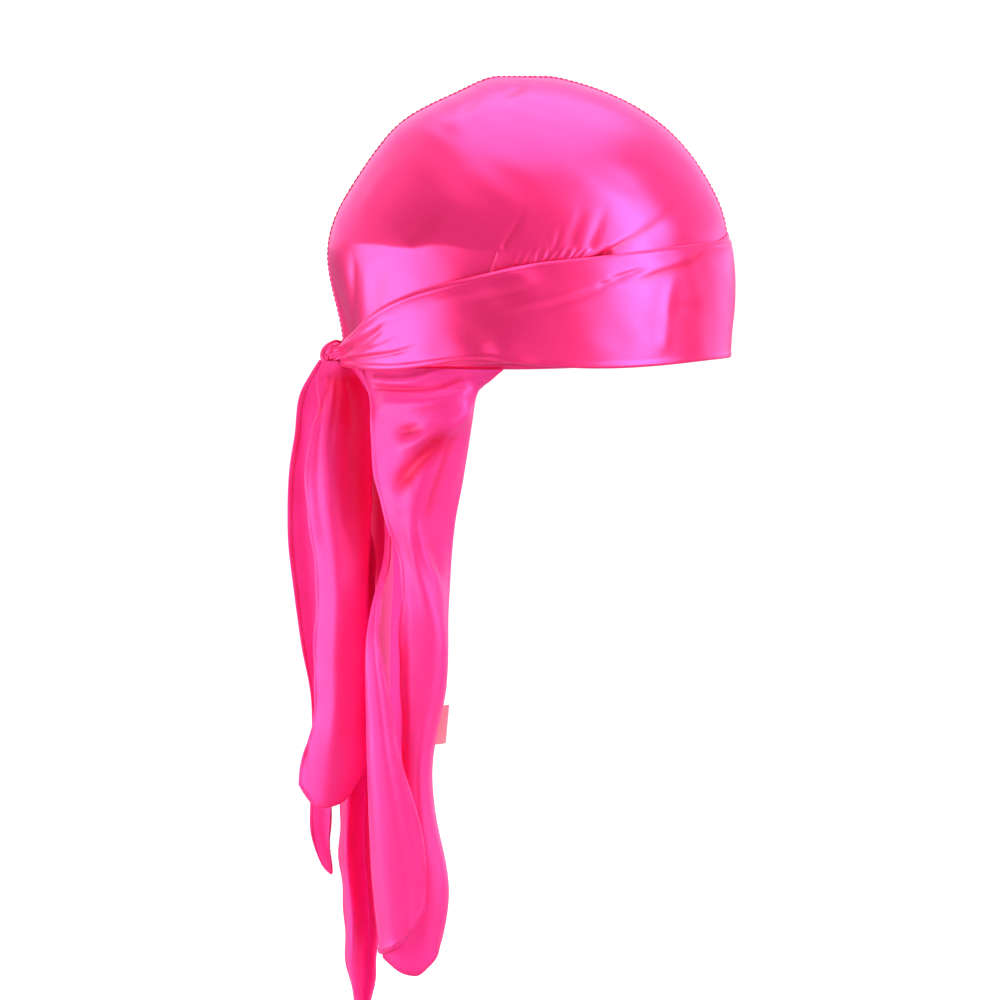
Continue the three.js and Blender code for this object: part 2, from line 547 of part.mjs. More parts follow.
// The long tail hangs behind the short one, in tight lengthwise folds.
const LONG_TAIL_TOP = { edge: [-0.1, 0.18], near: [0.04, 0.02], far: [0.14, 0.24], hem: [0.22, 0.08] };
const LONG_TAIL = [
  { drop: 0.03, edge: [-0.04, 0.26], near: [0.13, -0.04], far: [0.27, 0.27], hem: [0.42, -0.02] },
  { drop: 0.06, edge: [0, 0.3], near: [0.22, -0.1], far: [0.46, 0.3], hem: [0.74, -0.15] },
  { drop: 0.13, edge: [0.1, 0.34], near: [0.32, -0.14], far: [0.56, 0.36], hem: [0.82, -0.2] },
  { drop: 0.28, edge: [0.33, 0.36], near: [0.5, -0.18], far: [0.74, 0.44], hem: [0.98, -0.08] },
  { drop: 0.42, edge: [0.38, 0.25], near: [0.55, -0.3], far: [0.79, 0.4], hem: [1.03, -0.08] },
  { drop: 0.56, edge: [0.28, 0.15], near: [0.47, -0.38], far: [0.73, 0.3], hem: [0.98, -0.15] },
  { drop: 0.67, edge: [0.19, 0.08], near: [0.4, -0.45], far: [0.7, 0.22], hem: [0.97, -0.2] },
  { drop: 0.76, edge: [0.14, 0.05], near: [0.38, -0.46], far: [0.69, 0.2], hem: [0.98, -0.22] },
  { drop: 0.84, edge: [0.27, 0.03], near: [0.5, -0.45], far: [0.8, 0.15], hem: [1.06, -0.22] },
  { drop: 0.91, edge: [0.3, 0], near: [0.51, -0.42], far: [0.8, 0.1], hem: [1.04, -0.22] },
  { drop: 0.96, edge: [0.45, -0.02], near: [0.56, -0.3], far: [0.77, 0.02], hem: [0.94, -0.2] },
  { drop: 1, edge: [0.58, -0.05], near: [0.64, -0.2], far: [0.74, -0.05], hem: [0.83, -0.18] },
];
const LONG_TAIL_ENDS = [
  { across: 0, reach: 0.965 },
  { across: 0.35, reach: 0.99 },
  { across: 0.65, reach: 1 },
  { across: 1, reach: 0.98 },
];

const rightFlap = hangingCloth({
  rows: RIGHT_FLAP,
  turns: ["hem", "front", "ridge", "side", "inner"],
  place: capePlace,
  top: (turn) => rimPlace(RIGHT_FLAP_RIM[turn]),
  topHeight: capeTop,
  length: capeLength,
  ends: RIGHT_FLAP_ENDS,
  relief: swagRelief,
});
const leftFlap = hangingCloth({
  rows: LEFT_FLAP,
  turns: ["far", "farSide", "back", "turn", "fold", "over", "hem"],
  place: capePlace,
  top: (turn) => rimPlace(LEFT_FLAP_RIM[turn]),
  topHeight: capeTop,
  length: capeLength,
  ends: LEFT_FLAP_ENDS,
});
const shortTail = hangingCloth({
  rows: SHORT_TAIL,
  turns: ["hem", "front", "fold", "back", "edge"],
  place: tailPlace(shortTailSpread),
  top: (turn) => tailPlace(shortTailSpread)(SHORT_TAIL_TOP[turn]),
  topHeight: tailTop,
  length: shortTailLength,
  ends: SHORT_TAIL_ENDS,
});
const longTail = hangingCloth({
  rows: LONG_TAIL,
  turns: ["edge", "near", "far", "hem"],
  place: tailPlace(longTailSpread),
  top: (turn) => tailPlace(longTailSpread)(LONG_TAIL_TOP[turn]),
  topHeight: tailTop,
  length: longTailLength,
  ends: LONG_TAIL_ENDS,
});

// The label is sewn behind the turned-back edge of the right flap and shows beyond it.
// labelDown is the share of the way down that edge of the label's middle.
const labelDown = 0.72;
const labelTilt = 0.1;

function labelSheet(across, down) {
  const seat = rightFlap(1, labelDown);
  const along = labelWidth * (across - 0.15);
  const fall = labelHeight * (down - 0.5);
  const behind = clothWall / 2 + layerGap + labelWall / 2;
  return new THREE.Vector3(seat.x + along - labelTilt * fall, seat.y + behind, seat.z - fall);
}

const pink = new THREE.MeshStandardMaterial({ color: 0xf23c8c, roughness: 0.38, metalness: 0 });
const deepPink = new THREE.MeshStandardMaterial({ color: 0xe0246e, roughness: 0.42, metalness: 0 });
const palePink = new THREE.MeshStandardMaterial({ color: 0xf4b8c6, roughness: 0.7, metalness: 0 });

const durag = new THREE.Group();

function addPiece(name, geometry, material) {
  const mesh = new THREE.Mesh(geometry, material);
  mesh.name = name;
  durag.add(mesh);
}

addPiece("crown_right_panel", crownPanel(1, 1, 40, 18), pink);
addPiece("crown_left_panel", crownPanel(-1, 0.4, 20, 13), pink);
addPiece("centre_seam", centreSeam(38), deepPink);
addPiece("inner_strap_wrap", woundTie(INNER_TIE, innerTieOut, () => 0, 44, 4), pink);
addPiece("outer_strap_wrap", woundTie(OUTER_TIE, outerTieOut, outerTieRelief, 44, 5), pink);
addPiece("knot", knotSolid(16, 10), deepPink);
addPiece("short_tail", clothSheet(shortTail, 16, 18), pink);
addPiece("long_tail", clothSheet(longTail, 9, 18), pink);
addPiece("cape_right_flap", clothSheet(rightFlap, 15, 22), pink);
addPiece("cape_left_flap", clothSheet(leftFlap, 20, 17), pink);
addPiece("care_label", clothSheet(labelSheet, 1, 1, labelWall), palePink);

export default durag;
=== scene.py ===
import math
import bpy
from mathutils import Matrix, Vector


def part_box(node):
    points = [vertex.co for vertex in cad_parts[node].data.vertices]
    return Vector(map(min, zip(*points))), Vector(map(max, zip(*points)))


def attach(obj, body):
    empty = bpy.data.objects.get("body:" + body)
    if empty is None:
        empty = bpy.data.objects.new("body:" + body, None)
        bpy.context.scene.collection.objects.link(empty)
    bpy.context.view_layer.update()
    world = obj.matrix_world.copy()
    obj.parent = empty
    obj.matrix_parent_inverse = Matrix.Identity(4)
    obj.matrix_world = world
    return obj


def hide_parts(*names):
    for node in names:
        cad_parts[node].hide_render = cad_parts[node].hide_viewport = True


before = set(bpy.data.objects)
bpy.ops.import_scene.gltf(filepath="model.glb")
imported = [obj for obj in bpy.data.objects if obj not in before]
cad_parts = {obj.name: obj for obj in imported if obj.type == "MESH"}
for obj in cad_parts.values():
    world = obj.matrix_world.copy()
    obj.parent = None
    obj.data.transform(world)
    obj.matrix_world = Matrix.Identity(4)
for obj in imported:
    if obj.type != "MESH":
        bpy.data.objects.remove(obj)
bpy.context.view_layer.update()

from types import SimpleNamespace

import bpy
import numpy as np
from bpy.props import FloatProperty, FloatVectorProperty, PointerProperty
from mathutils import Vector

bl_info = {
    "name": "Satin Durag",
    "version": (1, 0, 0),
    "blender": (4, 5, 0),
    "location": "3D View > Sidebar > Durag",
    "description": "Dresses the durag's solids in satin cloth, with its folds, hems and stitching",
    "category": "Object",
}

METRES = 0.001
TINY = 1e-9
FAR = 1e9

# The camera's view, which the drawn folds are charted in: the place that it looks at,
# in millimetres along the head and up, its distance and the slope it looks down at.
VIEW_ALONG = -16
VIEW_UP = -69.5
VIEW_DISTANCE = 3000
VIEW_SLOPE = 0.078

# Lengths in millimetres and shares that several pieces are shaped by
TUCK_HEIGHT = 56        # where the crown goes in under the band
TIE_ROUND = 540         # a tie's way round the head
OUTER_TIE_DEEP = 58     # from the outer tie's upper edge to its lower one
INNER_TIE_DEEP = 60
SEAM_HALF_WIDTH = 1.28
PANEL_INSET = 1.35      # from the middle of the seam to the edge of a crown panel
PUCKER_LENGTH = 5.3     # between the puckers beside the seam
CROWN_CORE = 0.3        # height in the crown, as a share, that its cloth faces away from
TAIL_TOP_DROP = 2.8     # from the knot's middle down to the tails' tops
KNOT_BEHIND = 6.4       # from the crown's back to the knot's middle


# ---------------------------------------------------------------- curves and tables
def table(columns, *rows):
    """A table by its columns, in the order that they are named."""
    return {name: [row[i] for row in rows] for i, name in enumerate(columns.split())}


def smooth_curve(xs, ys):
    """A smooth curve through values ys at places xs, with no bend at its ends."""
    xs = np.asarray(xs, float)
    ys = np.asarray(ys, float)
    last = len(xs) - 1
    gaps = np.diff(xs)
    matrix = np.eye(last + 1)
    kinks = np.zeros_like(ys)
    for i in range(1, last):
        matrix[i, i - 1:i + 2] = gaps[i - 1], 2 * (gaps[i - 1] + gaps[i]), gaps[i]
        kinks[i] = 6 * ((ys[i + 1] - ys[i]) / gaps[i] - (ys[i] - ys[i - 1]) / gaps[i - 1])
    bend = np.linalg.solve(matrix, kinks)

    def curve(x):
        x = np.asarray(x, float)
        i = np.clip(np.searchsorted(xs, x) - 1, 0, last - 1)
        gap = gaps[i]
        b = (x - xs[i]) / gap
        a = 1 - b
        size = np.where((x < xs[0]) | (x > xs[-1]), 0, gap * gap / 6)
        high = (a ** 3 - a) * size
        low = (b ** 3 - b) * size
        if ys.ndim > 1:
            a, b, high, low = (part[..., None] for part in (a, b, high, low))
        return a * ys[i] + b * ys[i + 1] + high * bend[i] + low * bend[i + 1]

    return curve


def column_curve(rows, order, column):
    """A smooth curve through one column of a table, by another."""
    return smooth_curve(rows[order], rows[column])


def soft_step(start, finish, x):
    """A smooth rise from 0 at start to 1 at finish."""
    t = np.clip((x - start) / (finish - start), 0, 1)
    return t * t * (3 - 2 * t)


def spaced(count, *crowds):
    """Shares from 0 to 1 that lie closer together in each crowd of centre, width, weight."""
    fine = np.linspace(0, 1, 2001)
    weight = np.ones_like(fine)
    for centre, width, extra in crowds:
        weight += extra * np.exp(-((fine - centre) / width) ** 2)
    total = np.concatenate([[0], np.cumsum((weight[1:] + weight[:-1]) / 2)])
    return np.interp(np.linspace(0, total[-1], count), total, fine)


def unit(vectors):
    """The same directions at a length of one."""
    return vectors / np.maximum(np.linalg.norm(vectors, axis=-1, keepdims=True), TINY)


def run_along(path):
    """The length passed at each place of a path."""
    return np.concatenate([[0], np.cumsum(np.linalg.norm(np.diff(path, axis=0), axis=1))])


def taken_at(even, run, values):
    """Rows of values along a path, taken at even lengths of it."""
    return np.stack([np.interp(even, run, column) for column in values.T], 1)


# ---------------------------------------------------------------- sizes of the cloth
# The tables repeat the solids' own, so that each piece of cloth lies where its solid
# does. Heights are shares of the crown's height, band, cape or tail, and places in
# plan are shares of the crown's length and width or of a tail's spread.
CROWN_LEVELS = table(
    "climb front back middle side",
    (0, 0.475, 0.46, -0.04, 0.465),
    (0.08, 0.482, 0.47, -0.04, 0.481),
    (0.16, 0.487, 0.49, -0.04, 0.492),
    (0.24, 0.484, 0.503, -0.04, 0.495),
    (0.34, 0.471, 0.484, -0.04, 0.484),
    (0.44, 0.431, 0.434, -0.037, 0.453),
    (0.55, 0.37, 0.374, -0.035, 0.402),
    (0.66, 0.291, 0.302, -0.032, 0.326),
    (0.78, 0.187, 0.192, -0.03, 0.222),
    (0.89, 0.093, 0.126, -0.026, 0.114),
    (1, 0.03, 0.08, -0.024, 0),
)
OUTER_TIE = table(
    "around upper lower",
    (-0.481, 0.15, -0.02),
    (-0.43, 0.29, -0.015),
    (-0.39, 0.48, -0.01),
    (-0.35, 0.63, -0.005),
    (-0.28, 0.79, 0),
    (-0.2, 0.91, 0.02),
    (-0.1, 1, 0.05),
    (0, 1.04, 0.05),
    (0.08, 1.04, 0.058),
    (0.15, 0.99, 0.03),
    (0.2, 0.935, 0.025),
    (0.24, 0.885, 0.06),
    (0.28, 0.79, 0.1),
    (0.32, 0.69, 0.055),
    (0.36, 0.57, 0.005),
    (0.397, 0.42, -0.01),
    (0.431, 0.27, -0.015),
    (0.481, 0.15, -0.02),
)
INNER_TIE = table(
    "around upper lower",
    (-0.481, 0.13, 0),
    (-0.42, 0.29, 0.01),
    (-0.36, 0.62, 0.04),
    (-0.28, 0.86, 0.08),
    (-0.2, 1.02, 0.12),
    (-0.12, 1.13, 0.14),
    (-0.04, 1.12, 0.14),
    (0.04, 1.06, 0.12),
    (0.12, 0.96, 0.1),
    (0.2, 0.84, 0.08),
    (0.28, 0.68, 0.06),
    (0.36, 0.46, 0.03),
    (0.42, 0.24, 0.01),
    (0.481, 0.13, 0),
)
RIGHT_FLAP_RIM = dict(hem=0.432, front=0.375, ridge=0.325, side=0.285, inner=0.262)
RIGHT_FLAP = table(
    "drop hem front ridge side inner",
    (0.06, (-0.396, -0.318), (-0.29, -0.43), (-0.19, -0.465), (-0.142, -0.42), (-0.165, -0.36)),
    (0.115, (-0.394, -0.335), (-0.29, -0.428), (-0.213, -0.45), (-0.155, -0.385), (-0.188, -0.33)),
    (0.197, (-0.379, -0.34), (-0.313, -0.405), (-0.254, -0.42), (-0.178, -0.345), (-0.21, -0.295)),
    (0.263, (-0.351, -0.338), (-0.313, -0.378), (-0.277, -0.392), (-0.196, -0.32), (-0.228, -0.27)),
    (0.315, (-0.325, -0.334), (-0.298, -0.364), (-0.27, -0.376), (-0.202, -0.3), (-0.233, -0.25)),
    (0.42, (-0.324, -0.318), (-0.271, -0.354), (-0.23, -0.35), (-0.206, -0.292), (-0.234, -0.242)),
    (0.53, (-0.322, -0.312), (-0.274, -0.345), (-0.232, -0.33), (-0.212, -0.274), (-0.239, -0.225)),
    (0.64, (-0.318, -0.305), (-0.288, -0.33), (-0.262, -0.318), (-0.244, -0.266), (-0.268, -0.226)),
    (0.757, (-0.328, -0.292), (-0.288, -0.314), (-0.256, -0.303), (-0.233, -0.26), (-0.256, -0.22)),
    (0.859, (-0.345, -0.28), (-0.288, -0.304), (-0.234, -0.292), (-0.207, -0.252),
     (-0.234, -0.214)),
    (0.947, (-0.37, -0.27), (-0.305, -0.297), (-0.25, -0.285), (-0.224, -0.247), (-0.249, -0.214)),
    (1, (-0.36, -0.265), (-0.302, -0.29), (-0.262, -0.278), (-0.242, -0.245), (-0.258, -0.215)),
)
RIGHT_FLAP_ENDS = table(
    "across reach",
    (0, 0.972),
    (0.1, 0.99),
    (0.24, 1),
    (0.42, 0.998),
    (0.56, 0.98),
    (0.72, 0.95),
    (0.9, 0.915),
    (1, 0.905),
)
LEFT_FLAP_RIM = dict(
    far=-0.262, farSide=-0.34, back=-0.455, turn=0.495, fold=0.468, over=0.455, hem=0.443)
LEFT_FLAP = table(
    "drop far farSide back turn fold over hem",
    (0.066, (-0.15, 0.418), (-0.31, 0.367), (-0.43, 0.15), (-0.402, -0.02), (-0.392, -0.11),
     (-0.384, -0.16), (-0.372, -0.21)),
    (0.13, (-0.164, 0.39), (-0.318, 0.316), (-0.43, 0.125), (-0.378, -0.01), (-0.378, -0.12),
     (-0.37, -0.18), (-0.358, -0.225)),
    (0.22, (-0.186, 0.34), (-0.318, 0.275), (-0.423, 0.12), (-0.368, 0), (-0.368, -0.125),
     (-0.362, -0.19), (-0.35, -0.235)),
    (0.31, (-0.209, 0.29), (-0.318, 0.24), (-0.418, 0.115), (-0.358, 0), (-0.362, -0.15),
     (-0.36, -0.215), (-0.35, -0.265)),
    (0.378, (-0.219, 0.266), (-0.323, 0.215), (-0.413, 0.108), (-0.353, -0.005), (-0.38, -0.205),
     (-0.382, -0.285), (-0.37, -0.325)),
    (0.43, (-0.224, 0.25), (-0.328, 0.2), (-0.408, 0.105), (-0.353, -0.01), (-0.396, -0.255),
     (-0.393, -0.345), (-0.377, -0.372)),
    (0.53, (-0.239, 0.203), (-0.328, 0.17), (-0.403, 0.095), (-0.353, -0.015), (-0.404, -0.268),
     (-0.386, -0.37), (-0.35, -0.382)),
    (0.64, (-0.249, 0.165), (-0.328, 0.14), (-0.398, 0.082), (-0.353, -0.025), (-0.403, -0.265),
     (-0.373, -0.372), (-0.321, -0.386)),
    (0.757, (-0.259, 0.127), (-0.328, 0.108), (-0.393, 0.063), (-0.353, -0.038), (-0.4, -0.26),
     (-0.352, -0.368), (-0.272, -0.38)),
    (0.83, (-0.264, 0.105), (-0.328, 0.09), (-0.388, 0.05), (-0.353, -0.045), (-0.396, -0.255),
     (-0.338, -0.358), (-0.262, -0.368)),
    (0.9, (-0.268, 0.09), (-0.328, 0.076), (-0.383, 0.038), (-0.353, -0.05), (-0.386, -0.25),
     (-0.33, -0.346), (-0.266, -0.355)),
    (1, (-0.274, 0.076), (-0.328, 0.062), (-0.378, 0.025), (-0.353, -0.057), (-0.37, -0.242),
     (-0.328, -0.335), (-0.28, -0.34)),
)
LEFT_FLAP_ENDS = table(
    "across reach",
    (0, 0.86),
    (0.2, 0.91),
    (0.45, 0.94),
    (0.68, 0.965),
    (0.84, 0.945),
    (0.93, 0.92),
    (1, 0.885),
)
SHORT_TAIL_TOP = dict(
    hem=(-0.12, -0.16), front=(0.1, -0.22), fold=(0.44, -0.14), back=(0, -0.07),
    edge=(-0.17, -0.03))
SHORT_TAIL = table(
    "drop hem front fold back edge",
    (0.04, (-0.2, -0.28), (0.06, -0.38), (0.42, -0.26), (-0.08, -0.11), (-0.34, -0.06)),
    (0.078, (-0.18, -0.4), (0.06, -0.5), (0.5, -0.34), (-0.11, -0.15), (-0.43, -0.1)),
    (0.137, (-0.25, -0.5), (0.04, -0.63), (0.5, -0.45), (-0.16, -0.18), (-0.47, -0.12)),
    (0.195, (-0.31, -0.55), (0.04, -0.7), (0.5, -0.5), (-0.15, -0.2), (-0.53, -0.13)),
    (0.262, (-0.31, -0.58), (0.05, -0.73), (0.5, -0.52), (-0.13, -0.22), (-0.56, -0.15)),
    (0.344, (-0.25, -0.6), (0.09, -0.74), (0.48, -0.53), (-0.1, -0.23), (-0.56, -0.16)),
    (0.465, (-0.2, -0.6), (0.12, -0.75), (0.42, -0.55), (-0.05, -0.24), (-0.475, -0.17)),
    (0.566, (-0.235, -0.6), (0.1, -0.75), (0.42, -0.55), (-0.02, -0.25), (-0.385, -0.18)),
    (0.645, (-0.22, -0.6), (0.1, -0.75), (0.4, -0.55), (-0.02, -0.26), (-0.29, -0.2)),
    (0.723, (-0.285, -0.6), (0.07, -0.75), (0.395, -0.55), (-0.03, -0.28), (-0.27, -0.22)),
    (0.781, (-0.405, -0.59), (0.04, -0.73), (0.4, -0.55), (-0.03, -0.31), (-0.28, -0.24)),
    (0.855, (-0.4, -0.58), (-0.03, -0.7), (0.26, -0.5), (0, -0.35), (-0.29, -0.27)),
    (0.9, (-0.35, -0.57), (-0.05, -0.66), (0.2, -0.48), (0.03, -0.36), (-0.295, -0.27)),
    (0.95, (-0.3, -0.57), (-0.03, -0.64), (0.16, -0.46), (0.04, -0.36), (-0.235, -0.28)),
    (1, (-0.28, -0.56), (0, -0.62), (0.19, -0.43), (0.13, -0.36), (-0.1, -0.29)),
)
SHORT_TAIL_ENDS = table(
    "across reach",
    (0, 0.82),
    (0.1, 0.855),
    (0.25, 0.86),
    (0.4, 0.83),
    (0.5, 0.785),
    (0.62, 0.81),
    (0.75, 0.84),
    (0.82, 0.92),
    (0.93, 1),
    (1, 0.985),
)
LONG_TAIL_TOP = dict(edge=(-0.1, 0.18), near=(0.04, 0.02), far=(0.14, 0.24), hem=(0.22, 0.08))
LONG_TAIL = table(
    "drop edge near far hem",
    (0.03, (-0.04, 0.26), (0.13, -0.04), (0.27, 0.27), (0.42, -0.02)),
    (0.06, (0, 0.3), (0.22, -0.1), (0.46, 0.3), (0.74, -0.15)),
    (0.13, (0.1, 0.34), (0.32, -0.14), (0.56, 0.36), (0.82, -0.2)),
    (0.28, (0.33, 0.36), (0.5, -0.18), (0.74, 0.44), (0.98, -0.08)),
    (0.42, (0.38, 0.25), (0.55, -0.3), (0.79, 0.4), (1.03, -0.08)),
    (0.56, (0.28, 0.15), (0.47, -0.38), (0.73, 0.3), (0.98, -0.15)),
    (0.67, (0.19, 0.08), (0.4, -0.45), (0.7, 0.22), (0.97, -0.2)),
    (0.76, (0.14, 0.05), (0.38, -0.46), (0.69, 0.2), (0.98, -0.22)),
    (0.84, (0.27, 0.03), (0.5, -0.45), (0.8, 0.15), (1.06, -0.22)),
    (0.91, (0.3, 0), (0.51, -0.42), (0.8, 0.1), (1.04, -0.22)),
    (0.96, (0.45, -0.02), (0.56, -0.3), (0.77, 0.02), (0.94, -0.2)),
    (1, (0.58, -0.05), (0.64, -0.2), (0.74, -0.05), (0.83, -0.18)),
)
LONG_TAIL_ENDS = table(
    "across reach",
    (0, 0.965),
    (0.35, 0.99),
    (0.65, 1),
    (1, 0.98),
)
PLAN_SQUARENESS = 0.05
CROWN_FRONT, CROWN_BACK, CROWN_MIDDLE, CROWN_SIDE = (
    column_curve(CROWN_LEVELS, "climb", column) for column in ("front", "back", "middle", "side"))

# Folds are drawn as they look from the wearer's right side, as runs of places along
# the head and up from the hem, in millimetres. A groove sinks and a ridge rises along
# its line. A lap rises sharply on the left of its line and sinks back over its reach,
# and a turn slopes in on the right of its line. The two fades are the shares of the
# line over which a fold begins and ends.
# Grooves and laps also paint shade into the cloth's colour, by the crease_shade mark.
FOLD_COLUMNS = "form depth width reach begins ends line"
CROWN_FOLDS = table(
    FOLD_COLUMNS,
    ("turn", 2.6, 0.8, 11, 0.02, 0.12, ((38, 59), (26, 56.5), (11.5, 55.8), (-13, 56),
     (-19.5, 55.5), (-35, 56.5), (-45, 58), (-62.5, 56.5), (-78, 58.5), (-93, 60), (-101, 63))),
    ("groove", 0.6, 1.8, 0, 0.7, 0.05, ((-2, 79), (-5, 72), (-9, 65), (-15, 56))),
    ("lap", 0.9, 0.6, 3.2, 0.1, 0.2, ((-16.6, 56), (-18.5, 50), (-21, 44), (-23, 38))),
    ("groove", 0.3, 3.0, 0, 0.6, 0.1, ((27, 82), (24, 72), (21, 64), (19, 56))),
    ("groove", 0.35, 2.8, 0, 0.6, 0.1, ((38, 80), (35, 72), (31, 63), (28, 55))),
    ("groove", 0.25, 1.4, 0, 0.5, 0.1, ((16, 68), (13, 62), (11, 55))),
    ("groove", 0.5, 4.5, 0, 0.5, 0.2, ((-38, 76), (-52, 67), (-64, 58))),
    ("lap", 0.75, 1.2, 10, 0.04, 0.6, ((17, 44), (25, 48.6), (33.2, 53.7), (47.9, 62),
     (60.8, 70.2), (70.8, 81.2), (74, 92))),
    ("groove", 0.3, 3.0, 0, 0.1, 0.5, ((24, 47), (34, 52.2), (49, 60.6), (61.5, 68.5), (72, 80))),
    ("groove", 0.8, 1.1, 0, 0.2, 0.5, ((28, 48), (35, 49.5), (46, 53))),
    ("ridge", 1.0, 5.5, 0, 0.4, 0.5, ((-44, 112), (-30, 124), (-14, 134))),
    ("groove", 0.7, 2.2, 0, 0.4, 0.4, ((-16, 130), (-9, 134), (0, 139))),
    ("groove", 0.6, 3.0, 0, 0.4, 0.4, ((-38, 121), (-30, 126), (-22, 131))),
    ("groove", 0.5, 2.4, 0, 0.3, 0.1, ((-98, 56), (-97, 40), (-95, 24), (-92.5, 9))),
    ("groove", 0.6, 1.8, 0, 0.25, 0.05, ((-90, 56), (-90.6, 40), (-91, 24), (-91, 8))),
    ("ridge", 0.4, 3.2, 0, 0.3, 0.2, ((-84, 54), (-85, 36), (-87, 18), (-89, 8))),
    ("groove", 0.5, 3.2, 0, 0.4, 0.3, ((-74, 52), (-77, 36), (-81, 20))),
    ("groove", 0.7, 5.0, 0, 0.5, 0.4, ((-93, 62), (-84, 84), (-70, 102), (-56, 114))),
    ("ridge", 0.7, 4.0, 0, 0.4, 0.4, ((-88, 66), (-78, 88), (-64, 105))),
    ("ridge", 0.6, 7.0, 0, 0.5, 0.5, ((60, 60), (74, 66), (88, 74))),
)
# The gathers where the crown goes in under the band, a row each: the place of its
# foot, how far it leans forward on its way up, and its depth. All feet lie on one
# line, of places along the head and the heights there.
GATHER_FEET = ((-25, -5, 15, 30), (39, 43, 47, 50))
CROWN_GATHERS = table(
    "foot lean depth",
    (-11, 4, 0.3),
    (-6.5, 4.5, 0.4),
    (-2.2, 5, 0.5),
    (1.9, 5, 0.55),
    (6.4, 5.5, 0.6),
    (10.6, 5.5, 0.65),
    (14.4, 6, 0.6),
    (18, 6.5, 0.55),
    (21.4, 7, 0.45),
)
# The folds of the outer tie, which makes the band. Its first groove, wide and shallow, is there
# mostly for the shade it paints across the band's dark zone
BAND_FOLDS = table(
    FOLD_COLUMNS,
    ("groove", 0.6, 10, 0, 0.2, 0.2, ((-34, 6), (-25, 16), (-14, 28), (-2, 42))),
    ("ridge", 1.7, 11, 0, 0.4, 0.4, ((-2, 52), (-8, 44), (-16, 35), (-22, 28))),
    ("ridge", 1.7, 11, 0, 0.4, 0.4, ((-2, -12), (-8, -4), (-16, 5), (-22, 12))),
    ("ridge", 0.3, 2.2, 0, 0.3, 0.5, ((-52, 28), (-40, 31.5), (-24, 36), (-6, 41))),
    ("groove", 0.25, 1.8, 0, 0.4, 0.4, ((-36, 27), (-24, 31), (-10, 34.5), (6, 38.5))),
    ("ridge", 0.3, 2.2, 0, 0.4, 0.4, ((-24, 22), (-10, 27), (6, 31), (22, 35), (38, 40))),
    ("groove", 0.3, 1.8, 0, 0.4, 0.4, ((-4, 24), (10, 28), (26, 33), (40, 38))),
    ("lap", 0.7, 1.8, 9, 0.35, 0.2, ((44, 39.5), (52, 42), (61, 45.5), (73.6, 50), (81, 56),
     (84, 60))),
    ("groove", 0.6, 1.2, 0, 0.3, 0.4, ((36, 41), (46, 43.5), (58, 47.5))),
    ("groove", 0.5, 1.2, 0, 0.3, 0.5, ((30, 37.5), (38, 39.5), (50, 41.5))),
    ("ridge", 0.5, 3.2, 0, 0.3, 0.2, ((70, 46), (67, 34), (65, 20), (64, 2))),
    ("groove", 0.35, 3.0, 0, 0.3, 0.4, ((66, 27), (74, 27.5), (84, 29))),
    ("groove", 0.6, 1.8, 0, 0.15, 0.4, ((-91, 5), (-82, 9), (-75, 15), (-69, 23))),
    ("groove", 0.5, 1.3, 0, 0.1, 0.4, ((-91, 1.5), (-80, 2.8), (-66, 5), (-52, 10))),
    ("ridge", 0.4, 1.8, 0, 0.1, 0.4, ((-91, 3.4), (-81, 5.6), (-70, 9.5), (-58, 15))),
)
# The folds of the cape's right flap, under the band and down its front
FLAP_FOLDS = table(
    FOLD_COLUMNS,
    ("ridge", 2.0, 2.2, 0, 0.04, 0.3, ((-80, -9.5), (-72, -10.4), (-65, -10.6), (-57, -9.4),
     (-48, -6), (-38, -1.5))),
    ("groove", 1.2, 1.6, 0, 0.1, 0.25, ((-80, -13), (-68, -13.8), (-57.5, -14), (-46, -12.6),
     (-34, -8), (-26, -4))),
    ("ridge", 1.6, 4.5, 0, 0.1, 0.25, ((-78, -20.5), (-62, -21), (-46, -19), (-32, -13.5),
     (-21, -7))),
    ("groove", 0.6, 1.4, 0, 0.4, 0.1, ((-44, -16), (-36, -14), (-27, -10.2), (-19.5, -5))),
    ("groove", 0.4, 2.0, 0, 0.4, 0.4, ((-62, -25.6), (-54, -24.8), (-46, -22.8), (-37, -20))),
    ("groove", 1.7, 3.2, 0, 0.5, 0.5, ((-71, -33.5), (-65, -35.2), (-59, -34.6), (-52, -31.8))),
    ("ridge", 1.8, 4.2, 0, 0.15, 0.3, ((-27, -22), (-38, -29.5), (-50, -37), (-62, -42),
     (-71, -44))),
    ("groove", 2.6, 4.6, 0, 0.3, 0.3, ((-40, -31), (-49, -42), (-58, -51), (-65, -60), (-68, -70))),
    ("ridge", 0.5, 1.8, 0, 0.4, 0.4, ((-62, -58), (-61, -63), (-61.5, -69))),
    ("ridge", 0.4, 2.2, 0, 0.3, 0.3, ((-70, -58), (-70, -66), (-66, -73), (-60, -76))),
    ("lap", 0.6, 1.5, 6, 0.2, 0.3, ((-54, -82), (-52.5, -70), (-48, -56), (-43.5, -43),
     (-36, -30))),
    ("ridge", 1.1, 2.6, 0, 0.3, 0.3, ((-60, -72), (-57, -84), (-54, -96), (-49, -108),
     (-44, -122))),
    ("groove", 0.6, 3.6, 0, 0.4, 0.4, ((-52, -84), (-48, -96), (-43, -112))),
)
# Painted shade for the recessed gap where the cape's left flap turns in behind the right one
FLAP_SHADE = table(
    FOLD_COLUMNS,
    ("groove", 1.6, 8, 0, 0.05, 0.6, ((-80, -20), (-79, -50), (-78, -80), (-76, -102),
     (-74, -122))),
)
